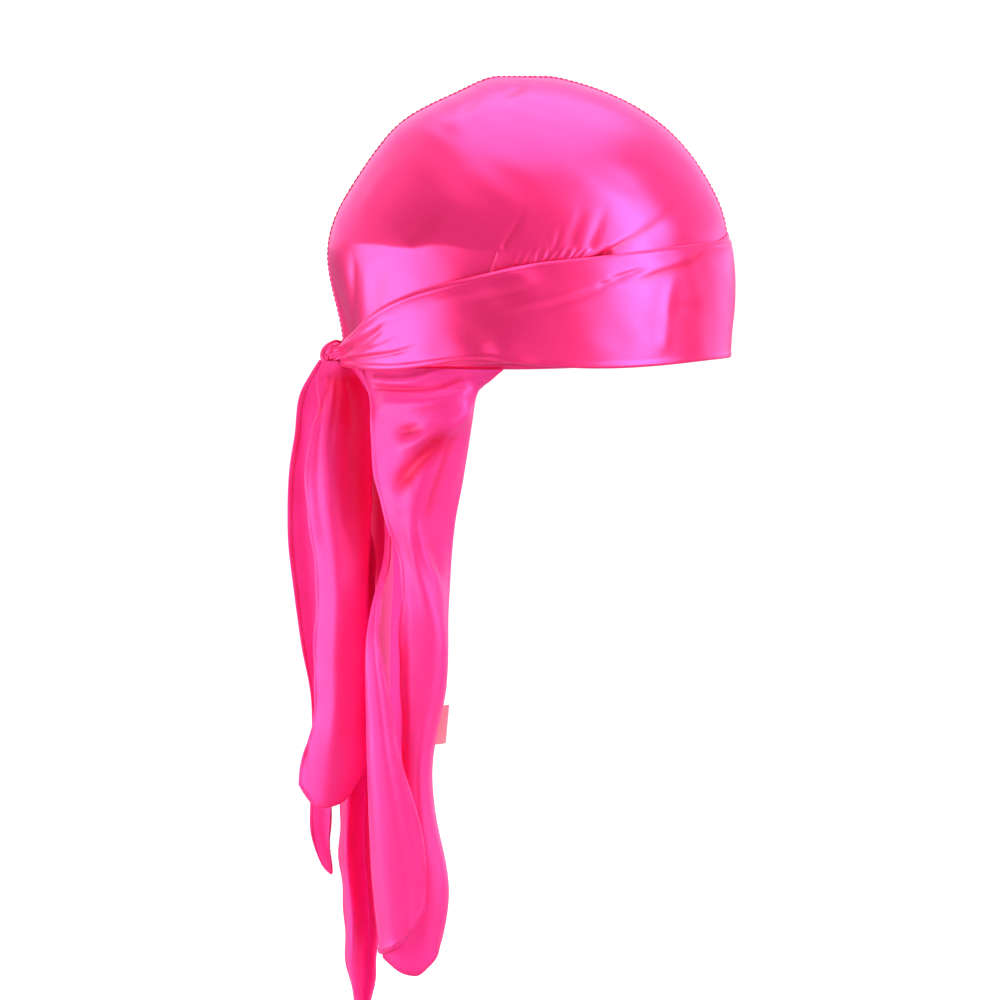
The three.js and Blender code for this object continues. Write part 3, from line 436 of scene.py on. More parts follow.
# The folds of the short tail. Their grooves paint shade too, most of all the first, in the dark
# hollow between the tail and the cape, and the second, under the knot
TAIL_FOLDS = table(
    FOLD_COLUMNS,
    ("groove", 1.9, 8.0, 0, 0.05, 0.55, ((-90, -4), (-89, -24), (-88, -45), (-86, -70),
     (-83, -96), (-79, -128))),
    ("groove", 0.7, 6.0, 0, 0.1, 0.4, ((-99, -3), (-95, -12), (-92, -24), (-90, -40))),
    ("ridge", 0.8, 3.0, 0, 0.3, 0.4, ((-104, -20), (-109, -34), (-112, -56), (-109, -82),
     (-104, -110))),
    ("groove", 0.9, 1.6, 0, 0.1, 0.5, ((-101, -6), (-103, -16), (-107, -26), (-112, -36))),
    ("groove", 0.8, 1.8, 0, 0.1, 0.6, ((-98, -6), (-98, -18), (-100, -34), (-102, -56))),
    ("groove", 0.7, 1.2, 0, 0.1, 0.5, ((-94, -6), (-92, -14), (-90, -26), (-89, -40))),
    ("groove", 0.5, 1.6, 0, 0.3, 0.4, ((-115, -150), (-113, -190), (-110, -216))),
)
# Soft folds of hanging cloth, a row each: where it lies across the cloth at its top,
# middle and foot, the drops between which it shows, its width across and its depth.
HANG_COLUMNS = "top middle foot starts stops width depth"
RIGHT_FLAP_HANG = table(
    HANG_COLUMNS,
    (0.14, 0.12, 0.16, 0.3, 1.2, 0.08, 0.7),
    (0.34, 0.32, 0.32, 0.4, 1.2, 0.08, -0.6),
    (0.55, 0.56, 0.58, 0.35, 1.2, 0.08, 0.5),
    (0.74, 0.72, 0.72, 0.1, 0.9, 0.06, -0.6),
    (0.88, 0.86, 0.86, 0.05, 1, 0.06, 0.6),
)
LEFT_FLAP_HANG = table(
    HANG_COLUMNS,
    (0.08, 0.06, 0.08, 0.02, 1.2, 0.045, -1.8),
    (0.2, 0.18, 0.2, 0.05, 1.2, 0.05, 2.0),
    (0.34, 0.32, 0.34, 0.1, 1.2, 0.05, -1.5),
    (0.48, 0.46, 0.5, 0.02, 1.2, 0.045, 1),
    (0.56, 0.55, 0.56, 0.02, 0.8, 0.03, -0.7),
    (0.74, 0.78, 0.8, 0.35, 1.2, 0.035, 0.7),
    (0.82, 0.88, 0.9, 0.3, 1.2, 0.03, -0.5),
)
SHORT_TAIL_HANG = table(
    HANG_COLUMNS,
    (0.12, 0.12, 0.13, 0.02, 0.4, 0.04, -0.8),
    (0.2, 0.22, 0.2, 0.02, 0.9, 0.055, 0.9),
    (0.29, 0.32, 0.3, 0.02, 0.4, 0.035, -0.9),
    (0.36, 0.38, 0.38, 0.02, 0.5, 0.035, 0.8),
    (0.66, 0.67, 0.67, 0.02, 0.7, 0.05, 0.9),
    (0.74, 0.74, 0.74, 0.02, 1.2, 0.05, -0.8),
    (0.86, 0.86, 0.86, 0.05, 1.2, 0.06, 0.8),
)
LONG_TAIL_HANG = table(
    HANG_COLUMNS,
    (0.18, 0.2, 0.16, 0.02, 1.2, 0.1, 0.6),
    (0.42, 0.45, 0.55, 0.05, 1.2, 0.08, -0.5),
    (0.66, 0.64, 0.75, 0.02, 1.2, 0.1, 0.5),
)
# The left panel's folds, as they look from the wearer's left side.
LEFT_CROWN_FOLDS = table(
    FOLD_COLUMNS,
    ("turn", 2.0, 0.8, 12, 0.05, 0.1, ((60, 68), (40, 66), (10, 63), (-20, 60), (-50, 58),
     (-78, 56), (-98, 60))),
    ("groove", 0.8, 4.0, 0, 0.6, 0.1, ((-30, 92), (-38, 78), (-44, 62))),
    ("groove", 0.7, 3.0, 0, 0.6, 0.1, ((0, 88), (-4, 76), (-10, 62))),
    ("ridge", 0.7, 4.0, 0, 0.4, 0.4, ((30, 96), (26, 82), (18, 66))),
    ("lap", 1.1, 1.0, 9, 0.1, 0.5, ((-20, 58), (6, 66), (32, 78), (52, 92))),
    ("groove", 0.9, 2.6, 0, 0.2, 0.1, ((-96, 56), (-95, 36), (-93, 10))),
    ("ridge", 0.8, 2.6, 0, 0.3, 0.2, ((-84, 54), (-86, 34), (-90, 10))),
    ("groove", 0.8, 5.0, 0, 0.4, 0.4, ((-88, 72), (-72, 96), (-52, 116))),
)


# ---------------------------------------------------------------- shapes of the cloth
def shape_sizes(scene):
    """The sizes that shape the cloth, in millimetres, and the share of the folds' depth."""
    wrap = scene.durag_wrap
    hang = scene.durag_hanging
    size = SimpleNamespace(
        length=wrap.crown_length,
        width=wrap.crown_width,
        height=wrap.crown_height,
        band=wrap.band_width,
        hem_rise=wrap.front_hem_rise,
        cloth=wrap.cloth_thickness,
        cape=hang.cape_length,
        short_tail=hang.short_tail_length,
        short_spread=hang.short_tail_spread,
        long_tail=hang.long_tail_length,
        long_spread=hang.long_tail_spread,
        hem=hang.hem_width,
        stitch=hang.stitch_length,
        thread=hang.thread_thickness,
    )
    for name, metres in vars(size).items():
        setattr(size, name, 1000 * metres)
    size.folds = wrap.fold_depth
    size.knot_height = 0.055 * size.band
    back = size.length * CROWN_BACK(climb_to(size, size.knot_height))
    size.knot_x = -back - KNOT_BEHIND
    return size


def climb_to(size, height):
    """How far up the crown's curve a height lies, as a share of a quarter turn."""
    return np.arcsin(np.clip(np.asarray(height) / size.height, -1, 1)) * 2 / np.pi


def crown_outline(size, around, climb, seam_blend=0.1):
    """Places on the crown's smooth outline, by turns round from the forehead."""
    around, climb = np.broadcast_arrays(around, climb)
    cos = np.cos(around * 2 * np.pi)
    sin = np.sin(around * 2 * np.pi)
    middle = CROWN_MIDDLE(climb)
    reach = np.where(cos > 0, CROWN_FRONT(climb) - middle, CROWN_BACK(climb) + middle)
    x = size.length * (middle + reach * cos * (1 + PLAN_SQUARENESS * sin ** 2))
    side = size.width * CROWN_SIDE(climb) * sin * (1 + PLAN_SQUARENESS * cos ** 2)
    inset = PANEL_INSET * (sin / np.hypot(sin, seam_blend) if seam_blend else np.sign(sin))
    return np.stack([x, -side - inset, size.height * np.sin(climb * np.pi / 2)], -1)


def grid_normals(grid, outward):
    """Directions off a grid of places, on the side that the outward pointers show."""
    along = np.gradient(grid, axis=1)
    down = np.gradient(grid, axis=0)
    normal = unit(np.cross(along, down))
    sign = np.sign((normal * outward).sum())
    return normal * sign, sign


def seen_from_side(grid):
    """Where places look to lie from the wearer's right side, along and up."""
    away = 1 + grid[..., 1] / VIEW_DISTANCE
    along = VIEW_ALONG + (grid[..., 0] - VIEW_ALONG) / away
    up = (grid[..., 2] + VIEW_SLOPE * grid[..., 1] - VIEW_UP) / away + VIEW_UP
    return along, up


def line_distance(along, up, line):
    """Distance from a line, more than 0 on its left, and the share of it passed."""
    line = np.asarray(line, float)
    steps = run_along(line)
    fine = smooth_curve(steps, line)(np.linspace(0, steps[-1], 12 * len(line)))
    best = np.full(along.shape, FAR)
    signed = np.zeros(along.shape)
    share = np.zeros(along.shape)
    for k in range(len(fine) - 1):
        start = fine[k]
        run = fine[k + 1] - start
        reach = run @ run
        t = ((along - start[0]) * run[0] + (up - start[1]) * run[1]) / reach
        first, final = k == 0, k == len(fine) - 2
        t = np.clip(t, -9 if first else 0, 9 if final else 1)
        dx = along - start[0] - t * run[0]
        dz = up - start[1] - t * run[1]
        away = np.hypot(dx, dz)
        near = away < best
        best = np.where(near, away, best)
        side = np.sign(run[0] * dz - run[1] * dx)
        signed = np.where(near, away * side, signed)
        share = np.where(near, (k + t) / (len(fine) - 1), share)
    return signed, share


def fold_relief(along, up, folds):
    """How far the drawn folds stand off the cloth, and how much shade they paint into its colour,
    along grooves and under laps.
    """
    relief = np.zeros(along.shape)
    crease_shade = np.zeros(along.shape)
    for form, depth, width, reach, begins, ends, line in zip(*folds.values()):
        away, share = line_distance(along, up, line)
        fade = soft_step(-0.01, begins, share) * soft_step(1.01, 1 - ends, share)
        bell = np.exp(-(away / width) ** 2)
        if form == "groove":
            relief -= depth * fade * bell
            # Painted shade along the groove
            crease_shade += 0.5 * depth * fade * bell
        elif form == "ridge":
            relief += depth * fade * bell
        elif form == "lap":
            rise = soft_step(-width, width, away) * np.exp(-np.maximum(away, 0) / reach)
            relief += depth * fade * rise
            # Painted shade just below the lap's step, where the lower cloth lies under it
            crease_shade += 0.9 * depth * fade * np.exp(-((away + width) / (1.2 * width)) ** 2)
        else:
            inside = np.maximum(away, 0)
            relief -= depth * fade * (1 - np.exp(-inside / reach))
    return relief, np.clip(crease_shade, 0, 1)


def ripple(u, v, seed):
    """Slow uneven waves of loose cloth, from -1 to 1, the same on each run."""
    chance = np.random.default_rng(seed)
    total = np.zeros(np.broadcast(u, v).shape)
    waves = 7
    for _ in range(waves):
        turn = chance.uniform(0, np.pi)
        wave = chance.uniform(16, 44)
        phase = chance.uniform(0, 2 * np.pi)
        bend = 0.6 * np.sin(2 * np.pi * u / chance.uniform(50, 90) + phase)
        total += np.sin(2 * np.pi * (u * np.cos(turn) + v * np.sin(turn)) / wave + phase + bend)
    return total / waves


def lengths(grid):
    """Lengths over the cloth, across from its left edge and down from its top."""
    across, down = (np.cumsum(np.linalg.norm(np.diff(grid, axis=axis), axis=-1), axis=axis)
                    for axis in (1, 0))
    return np.pad(across, ((0, 0), (1, 0))), np.pad(down, ((1, 0), (0, 0)))


def edge_distance(grid, edges):
    """Distance over the cloth to the nearest of the named edges of a grid."""
    across, down = lengths(grid)
    away = {"left": across, "right": across[:, -1:] - across, "top": down, "foot": down[-1:] - down}
    return np.minimum.reduce([away[edge] for edge in edges])


def tube_quads(count, sides):
    """The faces of a tube, from its number of rings and their number of sides."""
    ring = np.arange(count - 1)[:, None] * sides
    side = np.arange(sides)
    after = (side + 1) % sides
    corners = (ring + side, ring + after, ring + after + sides, ring + side + sides)
    return np.stack(corners, -1).reshape(-1, 4)


def flat_tube(round_it, run):
    """Places on flat cloth for a tube, from the lengths round and along it."""
    return np.stack(np.broadcast_arrays(round_it, run[:, None]), -1).reshape(-1, 2)


def make_mesh(name, places, faces):
    """A smooth mesh from arrays of places in millimetres and faces of four corners."""
    mesh = bpy.data.meshes.new(name)
    mesh.vertices.add(len(places))
    mesh.vertices.foreach_set("co", (np.asarray(places) * METRES).astype(np.float32).ravel())
    faces = np.asarray(faces, np.int32)
    mesh.loops.add(faces.size)
    mesh.loops.foreach_set("vertex_index", faces.ravel())
    mesh.polygons.add(len(faces))
    mesh.polygons.foreach_set("loop_start", np.arange(0, faces.size, 4, dtype=np.int32))
    mesh.polygons.foreach_set("use_smooth", np.full(len(faces), True))
    mesh.update(calc_edges=True)
    mesh.validate()
    return mesh


def set_cloth_marks(mesh, flat, crease_shade=0, hem=0, wrong_side=0):
    """Keeps each corner's place on the flat cloth, in metres, and each vertex's marks."""
    corner = np.empty(len(mesh.loops), np.int32)
    mesh.loops.foreach_get("vertex_index", corner)
    layer = mesh.uv_layers.new(name="flat_cloth")
    layer.data.foreach_set("uv", (flat[corner] * METRES).astype(np.float32).ravel())
    for name, values in (("crease_shade", crease_shade), ("hem", hem), ("wrong_side", wrong_side)):
        mark = mesh.attributes.new(name, "FLOAT", "POINT")
        mark.data.foreach_set("value", np.full(len(mesh.vertices), values, np.float32))


def cloth_mesh(name, grid, outward, thickness, crease_shade, hem):
    """A closed sheet of cloth round a grid of places, with a rounded edge."""
    rows, columns = grid.shape[:2]
    normal, sign = grid_normals(grid, outward)
    half = (np.broadcast_to(thickness, (rows, columns)) / 2)[..., None]
    face = (grid + normal * half).reshape(-1, 3)
    back = (grid - normal * half).reshape(-1, 3)
    rim = np.concatenate([
        np.arange(columns - 1),
        np.arange(rows - 1) * columns + columns - 1,
        (rows - 1) * columns + np.arange(columns - 1, 0, -1),
        np.arange(rows - 1, 0, -1) * columns,
    ])
    inner = np.pad(grid[1:-1, 1:-1], ((1, 1), (1, 1), (0, 0)), mode="edge").reshape(-1, 3)
    flat_grid = grid.reshape(-1, 3)
    away = unit(flat_grid[rim] - inner[rim])
    edge = flat_grid[rim] + away * half.reshape(-1, 1)[rim] * 0.8
    layer = rows * columns
    a = (np.arange(rows - 1)[:, None] * columns + np.arange(columns - 1)).ravel()
    front = np.stack([a, a + 1, a + columns + 1, a + columns], 1)
    behind = front[:, ::-1] + layer
    after = np.roll(rim, -1)
    spot = 2 * layer + np.arange(len(rim))
    spot_after = np.roll(spot, -1)
    upper = np.stack([rim, spot, spot_after, after], 1)
    lower = np.stack([spot, rim + layer, after + layer, spot_after], 1)
    faces = np.concatenate([front, behind, upper, lower])
    if sign < 0:
        faces = faces[:, ::-1]
    mesh = make_mesh(name, np.concatenate([face, back, edge]), faces)
    across, down = lengths(grid)
    across = across - across[:, columns // 2:columns // 2 + 1]
    flat = np.stack([across, down], -1).reshape(-1, 2)
    whole = lambda values: np.concatenate([values, values, values[rim]])
    marks = (whole(np.broadcast_to(values, (rows, columns)).ravel()) for values in (crease_shade, hem))
    wrong_side = np.concatenate([np.zeros(layer), np.ones(layer), np.zeros(len(rim))])
    set_cloth_marks(mesh, whole(flat), *marks, wrong_side)
    return mesh, normal


def hem_thickness(size, grid, edges):
    """The cloth's thickness, doubled in a narrow rolled hem along the named edges."""
    away = edge_distance(grid, edges)
    hem = soft_step(size.hem, 0.55 * size.hem, away)
    return size.cloth * (1 + 1.1 * hem), hem


def edge_run(grid, normal, edge, step):
    """Even places along an edge of a grid, with the ways into and off the cloth."""
    near, next_in, off = {
        "left": (grid[:, 0], grid[:, 3], normal[:, 2]),
        "right": (grid[:, -1], grid[:, -4], normal[:, -3]),
        "top": (grid[0], grid[3], normal[2]),
        "foot": (grid[-1], grid[-4], normal[-3]),
    }[edge]
    run = run_along(near)
    even = np.arange(0.5, run[-1] - 0.5, step)
    near, into, off = (taken_at(even, run, values) for values in (near, next_in - near, off))
    return near, unit(into), off


def overlock_path(size, grid, normal, edge):
    """The thread of an overlocked edge, which goes over and under the cloth."""
    near, into, off = edge_run(grid, normal, edge, size.stitch / 4)
    beat = np.arange(len(near)) % 4
    depth = np.choose(beat, [1.6, -0.1, 1.6, -0.1])[:, None]
    lift = np.choose(beat, [0.85, 0.1, -0.85, -0.1])[:, None] * size.cloth
    return near + into * depth + off * lift


def stitch_path(size, places, off, lift, sink):
    """A run of short straight stitches over the cloth, along a path of places."""
    run = run_along(places)
    even = np.arange(0, run[-1], size.stitch / 5)
    rise = np.choose(np.arange(len(even)) % 5, [-sink, lift, 1.15 * lift, lift, -sink])[:, None]
    return taken_at(even, run, places) + taken_at(even, run, off) * rise * size.cloth


def thread_mesh(name, paths, radius, sides=5):
    """Round thread along open paths, as one mesh."""
    places, faces, flats = [], [], []
    base = 0
    turn = np.linspace(0, 2 * np.pi, sides, endpoint=False)
    for path in paths:
        tangent = unit(np.gradient(path, axis=0))
        side = unit(np.cross(tangent, (0.31, 0.55, 0.77)))
        up = np.cross(tangent, side)
        ring = np.cos(turn)[:, None, None] * side + np.sin(turn)[:, None, None] * up
        tube = (path + radius * ring).transpose(1, 0, 2)
        places.append(tube.reshape(-1, 3))
        flats.append(flat_tube(radius * turn, run_along(path)))
        faces.append(tube_quads(len(path), sides) + base)
        base += len(path) * sides
    mesh = make_mesh(name, np.concatenate(places), np.concatenate(faces))
    set_cloth_marks(mesh, np.concatenate(flats))
    return mesh


def puckers(run):
    """The uneven beat of the puckers beside the seam, from -1 to 1."""
    return np.sin(2 * np.pi * run / PUCKER_LENGTH + 1.3 * np.sin(run / 9))


def crown_panel(size, side, folds, around, climb):
    """A crown panel as a grid, with the folds that its side shows."""
    around = np.clip(around, 0.0004, 0.4996)[None, :]
    hem = climb_to(size, size.hem_rise * soft_step(0.26, 0, around))
    climb = climb[:, None]
    lifted = np.minimum(1, climb + (1 - climb) * hem)
    grid = crown_outline(size, side * around, lifted, 0)
    normal, _ = grid_normals(grid, grid - np.array([0, 0, CROWN_CORE * size.height]))
    along, up = seen_from_side(grid * np.array([1, side, 1]))
    relief, crease_shade = fold_relief(along, up, folds)
    if side > 0:
        feet = smooth_curve(*GATHER_FEET)(along)
        for foot, lean, depth in zip(*CROWN_GATHERS.values()):
            share = (up - feet) / np.maximum(TUCK_HEIGHT - feet, 4)
            away = along - foot - lean * np.clip(share, -0.6, 1.4) - 0.5 * np.sin(up / 2.1 + foot)
            fade = soft_step(-0.9, 0.1, share) * soft_step(1.25, 0.55, share)
            relief += depth * fade * np.exp(-(away / 1.25) ** 2)
            # Painted shade beside each gather
            crease_shade += 0.45 * depth * fade * np.exp(-((away - 2.1) / 1.0) ** 2)
    across, down = lengths(grid)
    seam = np.minimum(across, across[:, -1:] - across)
    pucker = puckers(down) * np.exp(-seam / 4.5)
    away_from_seam = soft_step(0.5, 9, seam) * soft_step(0.5, 8, down)
    relief = relief * away_from_seam + 0.28 * ripple(across + 40 * side, down, 11 + side)
    relief = relief + 0.16 * pucker
    edge = soft_step(0.3, 4, seam)
    relief = relief * (0.25 + 0.75 * edge)
    return grid + normal * (size.folds * relief)[..., None], crease_shade * away_from_seam


def wound_tie(size, rows, out, relief, around, down):
    """A tie wound round the crown as a grid, between its upper and lower edges."""
    upper = column_curve(rows, "around", "upper")(around)[None, :]
    lower = column_curve(rows, "around", "lower")(around)[None, :]
    turns = around[None, :]
    height = size.band * (upper + (lower - upper) * down[:, None])
    place = lambda a, h: crown_outline(size, a, climb_to(size, h))
    base = place(turns, height)
    along = place(turns + 0.003, height) - place(turns - 0.003, height)
    climb = place(turns, height + 1) - place(turns, height - 1)
    away = unit(np.cross(along, climb))
    facing = np.stack([np.cos(2 * np.pi * turns), -np.sin(2 * np.pi * turns), 0 * turns], -1)
    away *= np.sign((away * facing).sum(-1, keepdims=True))
    stand, crease_shade = relief(turns, down[:, None] + 0 * turns, base)
    grid = base + away * (out + stand)[..., None]
    return grid, crease_shade, away


def outer_tie_relief(size):
    """How the outer tie stands off the crown, with the band's drawn folds."""
    def relief(around, down, base):
        gather = soft_step(0.3, 0.47, np.abs(around))
        folds = 0.5 - 0.5 * np.cos(2 * np.pi * (2 * down + 0.1))
        fine = np.cos(2 * np.pi * (4.2 * down + 0.3 + 2 * around))
        along, up = seen_from_side(base)
        drawn, crease_shade = fold_relief(along, up, BAND_FOLDS)
        right = soft_step(1.58, -1.58, base[..., 1])
        low = np.maximum(base[..., 2], 0)
        inner = soft_step(0, 0.08, down) * soft_step(1, 0.9, down)
        loose = 0.3 * ripple(TIE_ROUND * around, low, 31) * inner
        slack = 0.5 * np.sin(2 * np.pi * (3.2 * around + 0.5 * down)) * np.sin(np.pi * down)
        shape = 0.7 * gather * folds + 0.2 * gather * fine + drawn * right + loose + 0.5 * slack
        in_from_edge = down * OUTER_TIE_DEEP
        edge = -1.5 * np.exp(-in_from_edge / 3.2) * soft_step(0.47, 0.4, np.abs(around))
        shape = shape * (1 - 0.8 * np.exp(-in_from_edge / 1.5))
        return size.folds * shape + edge, crease_shade * right
    return relief


def inner_tie_relief(size):
    """How the inner tie stands off the crown, with its gathers towards the knot."""
    def relief(around, down, base):
        loose = 0.22 * ripple(TIE_ROUND * around + 90, base[..., 2], 37)
        folds = 0.5 * soft_step(0.3, 0.46, np.abs(around)) * np.cos(2 * np.pi * (2.5 * down))
        edge = -0.7 * np.exp(-down * INNER_TIE_DEEP / 3)
        return size.folds * (loose + folds) + edge, np.zeros(base.shape[:2])
    return relief


def hanging_cloth(across, down, rows, place, top, top_height, length, ends):
    """Hanging cloth as a grid, from a table of its sections in plan, and each place's drop."""
    levels = np.array([top_height / -length, *rows["drop"]])
    columns = [column for column in rows if column != "drop"]
    spread = np.linspace(0, 1, len(columns))
    reach = smooth_curve(ends["across"], ends["reach"])(across)
    height = top_height + (-length * reach[None, :] - top_height) * down[:, None] ** 1.3
    drop = height / -length
    weights = smooth_curve(spread, np.eye(len(columns)))(across)
    plan = np.zeros(drop.shape + (2,))
    for k, column in enumerate(columns):
        track = np.array([top(column), *[place(spot) for spot in rows[column]]])
        plan += weights[None, :, k, None] * smooth_curve(levels, track)(drop)
    return np.concatenate([plan, height[..., None]], -1), drop


def hang_relief(folds, across, drop):
    """Soft folds that run down hanging cloth."""
    relief = np.zeros(drop.shape)
    for top, middle, foot, starts, stops, width, depth in zip(*folds.values()):
        centre = smooth_curve((0, 0.5, 1), (top, middle, foot))(np.clip(drop, 0, 1))
        fade = soft_step(starts - 0.02, starts + 0.12, drop) * soft_step(stops, stops - 0.25, drop)
        relief += depth * fade * np.exp(-((across[None, :] - centre) / width) ** 2)
    return relief


# ---------------------------------------------------------------- finishes
def new_group(name, inputs, outputs):
    """An empty shader node group with named inputs and outputs."""
    group = bpy.data.node_groups.new(name, "ShaderNodeTree")
    for label, kind, value in inputs:
        socket = group.interface.new_socket(label, in_out="INPUT", socket_type=kind)
        if value is not None:
            socket.default_value = value
    for label, kind in outputs:
        group.interface.new_socket(label, in_out="OUTPUT", socket_type=kind)
    return group, group.nodes.new("NodeGroupInput"), group.nodes.new("NodeGroupOutput")


def node(tree, kind, inputs=(), **settings):
    """A node with its settings, and its inputs given as values or as sockets to link."""
    made = tree.nodes.new(kind)
    for key, value in settings.items():
        setattr(made, key, value)
    for key, value in dict(inputs).items():
        if isinstance(value, bpy.types.NodeSocket):
            tree.links.new(value, made.inputs[key])
        else:
            made.inputs[key].default_value = value
    return made


def calc(tree, operation, *values, clamp=False):
    """The result of a sum on values or sockets."""
    return node(tree, "ShaderNodeMath", dict(enumerate(values)), operation=operation,
                use_clamp=clamp).outputs[0]


def mix_colour(tree, share, first, second):
    """A colour between two others, by the share of the second."""
    return node(tree, "ShaderNodeMix", {0: share, 6: first, 7: second}, data_type="RGBA").outputs[2]


def satin_weave_group():
    """Threads of a satin weave: long floats along the cloth, with uneven thick threads."""
    group, given, result = new_group("Satin weave", [
        ("Flat Place", "NodeSocketVector", None),
        ("Threads per Metre", "NodeSocketFloat", 2600),
        ("Unevenness", "NodeSocketFloat", 0.5),
    ], [("Height", "NodeSocketFloat"), ("Slub", "NodeSocketFloat")])
    split = node(group, "ShaderNodeSeparateXYZ", {0: given.outputs["Flat Place"]})
    turns = calc(group, "MULTIPLY", given.outputs["Threads per Metre"], 2 * math.pi)
    warp = calc(group, "SINE", calc(group, "MULTIPLY", split.outputs["X"], turns))
    weft_turns = calc(group, "MULTIPLY", turns, 0.5)
    weft = calc(group, "SINE", calc(group, "MULTIPLY", split.outputs["Y"], weft_turns))
    cells = calc(group, "MULTIPLY", warp, weft)
    streaks = node(group, "ShaderNodeMapping", {"Vector": given.outputs["Flat Place"],
                                                "Scale": (900, 40, 1)})
    slub = node(group, "ShaderNodeTexNoise", {"Vector": streaks.outputs[0], "Scale": 1.0,
                                              "Detail": 3.0, "Roughness": 0.6})
    uneven = calc(group, "MULTIPLY", slub.outputs[0], given.outputs["Unevenness"])
    height = calc(group, "ADD", calc(group, "MULTIPLY", cells, 0.35), uneven)
    group.links.new(height, result.inputs["Height"])
    group.links.new(slub.outputs[0], result.inputs["Slub"])
    return group


def dye_and_shade_group():
    """The dyed colour with shade painted into its creases, a little darker along hems, and uneven
    in clouds and threads.
    """
    group, given, result = new_group("Dye and painted shade", [
        ("Colour", "NodeSocketColor", (0.9, 0.03, 0.2, 1)),
        ("Shade and Uneven Colour", "NodeSocketColor", (0.6, 0.004, 0.05, 1)),
        ("Crease Shade", "NodeSocketFloat", 0),
        ("Hem", "NodeSocketFloat", 0),
        ("Cloud", "NodeSocketFloat", 0.5),
        ("Slub", "NodeSocketFloat", 0.5),
    ], [("Colour", "NodeSocketColor")])
    cloud = calc(group, "MULTIPLY", calc(group, "SUBTRACT", given.outputs["Cloud"], 0.5), 0.3)
    slub = calc(group, "MULTIPLY", calc(group, "SUBTRACT", given.outputs["Slub"], 0.5), 0.2)
    hemmed = calc(group, "MULTIPLY", given.outputs["Hem"], 0.12)
    # The share of the shade colour: painted shade in creases, darker hems, and uneven clouds and
    # threads
    depth = calc(group, "ADD", calc(group, "ADD", given.outputs["Crease Shade"], hemmed),
                 calc(group, "ADD", cloud, slub), clamp=True)
    colour = mix_colour(group, depth, given.outputs["Colour"], given.outputs["Shade and Uneven Colour"])
    group.links.new(colour, result.inputs["Colour"])
    return group


def mark_value(tree, name):
    """A mark that the cloth carries: crease_shade, which paints shade into creases, hem or
    wrong_side.
    """
    return node(tree, "ShaderNodeAttribute", attribute_name=name,
                attribute_type="GEOMETRY").outputs["Fac"]


def woven_material(name, colour, shade_and_uneven_colour, threads_per_metre, unevenness, bump_height, clouds):
    """A material with the dyed colour, the shade painted into its creases and the weave that all
    the durag's cloth has, and its shader.
    """
    material = bpy.data.materials.new(name)
    material.use_nodes = True
    tree = material.node_tree
    tree.nodes.clear()
    groups = bpy.data.node_groups
    weave_group = groups.get("Satin weave") or satin_weave_group()
    dye_shade_group = groups.get("Dye and painted shade") or dye_and_shade_group()
    flat = node(tree, "ShaderNodeUVMap", uv_map="flat_cloth").outputs[0]
    weave = node(tree, "ShaderNodeGroup", {
        "Flat Place": flat, "Threads per Metre": threads_per_metre, "Unevenness": unevenness,
    }, node_tree=weave_group)
    dye_and_shade = node(tree, "ShaderNodeGroup", {
        "Colour": (*colour, 1), "Shade and Uneven Colour": (*shade_and_uneven_colour, 1), "Crease Shade": mark_value(tree, "crease_shade"),
        "Hem": mark_value(tree, "hem"), "Slub": weave.outputs["Slub"],
    }, node_tree=dye_shade_group)
    if clouds:
        cloud = node(tree, "ShaderNodeTexNoise", {"Vector": flat, "Scale": 26.0, "Detail": 2.0})
        tree.links.new(cloud.outputs[0], dye_and_shade.inputs["Cloud"])
    bump = node(tree, "ShaderNodeBump", {
        "Height": weave.outputs["Height"], "Distance": bump_height, "Strength": 1.0})
    shader = node(tree, "ShaderNodeBsdfPrincipled", {
        "Base Color": dye_and_shade.outputs["Colour"], "Normal": bump.outputs[0]})
    node(tree, "ShaderNodeOutputMaterial", {"Surface": shader.outputs[0]})
    return material, shader, weave.outputs["Slub"]


def satin_material(name, colour, shade_and_uneven_colour, finish, roughness, weave_height, unevenness=0.9, glow=0.0):
    """Dyed satin with its weave, sheen, shade painted into its creases, hems and duller wrong side.
    """
    made = bpy.data.materials.get(name)
    if made:
        return made
    made, shader, slub = woven_material(
        name, colour, shade_and_uneven_colour, 1 / finish.thread_spacing, unevenness, weave_height, clouds=True)
    tree = made.node_tree
    dull = calc(tree, "ADD", calc(tree, "MULTIPLY", mark_value(tree, "wrong_side"), 0.2),
                calc(tree, "MULTIPLY", slub, 0.06))
    tree.links.new(calc(tree, "ADD", dull, roughness - 0.03), shader.inputs["Roughness"])
    for label, value in {
        "Metallic": finish.lustre * (0.35 if glow else 1),
        "IOR": 1.4 if glow else 1.7,
        "Specular IOR Level": finish.gloss * (0.75 if glow else 1),
        "Specular Tint": (*finish.highlight, 1),
        "Sheen Weight": finish.sheen * (0.3 if glow else 1),
        "Sheen Roughness": 0.45,
        "Sheen Tint": (1.0, 0.4, 0.8, 1),
        "Subsurface Weight": glow,
        "Subsurface Radius": (1.0, 0.22, 0.42),
        "Subsurface Scale": 0.006,
    }.items():
        shader.inputs[label].default_value = value
    return made


def label_material(finish):
    """Woven label tape: fine ribs across it, with firmer selvedges and no print."""
    made = bpy.data.materials.get("woven_tape")
    if made:
        return made
    made, shader, slub = woven_material(
        "woven_tape", finish.label, [0.7 * v for v in finish.label], 2200, 0.7, 0.00006,
        clouds=False)
    tree = made.node_tree
    rough = calc(tree, "ADD", calc(tree, "MULTIPLY", slub, 0.2), 0.5)
    tree.links.new(rough, shader.inputs["Roughness"])
    shader.inputs["Sheen Weight"].default_value = 0.1
    return made


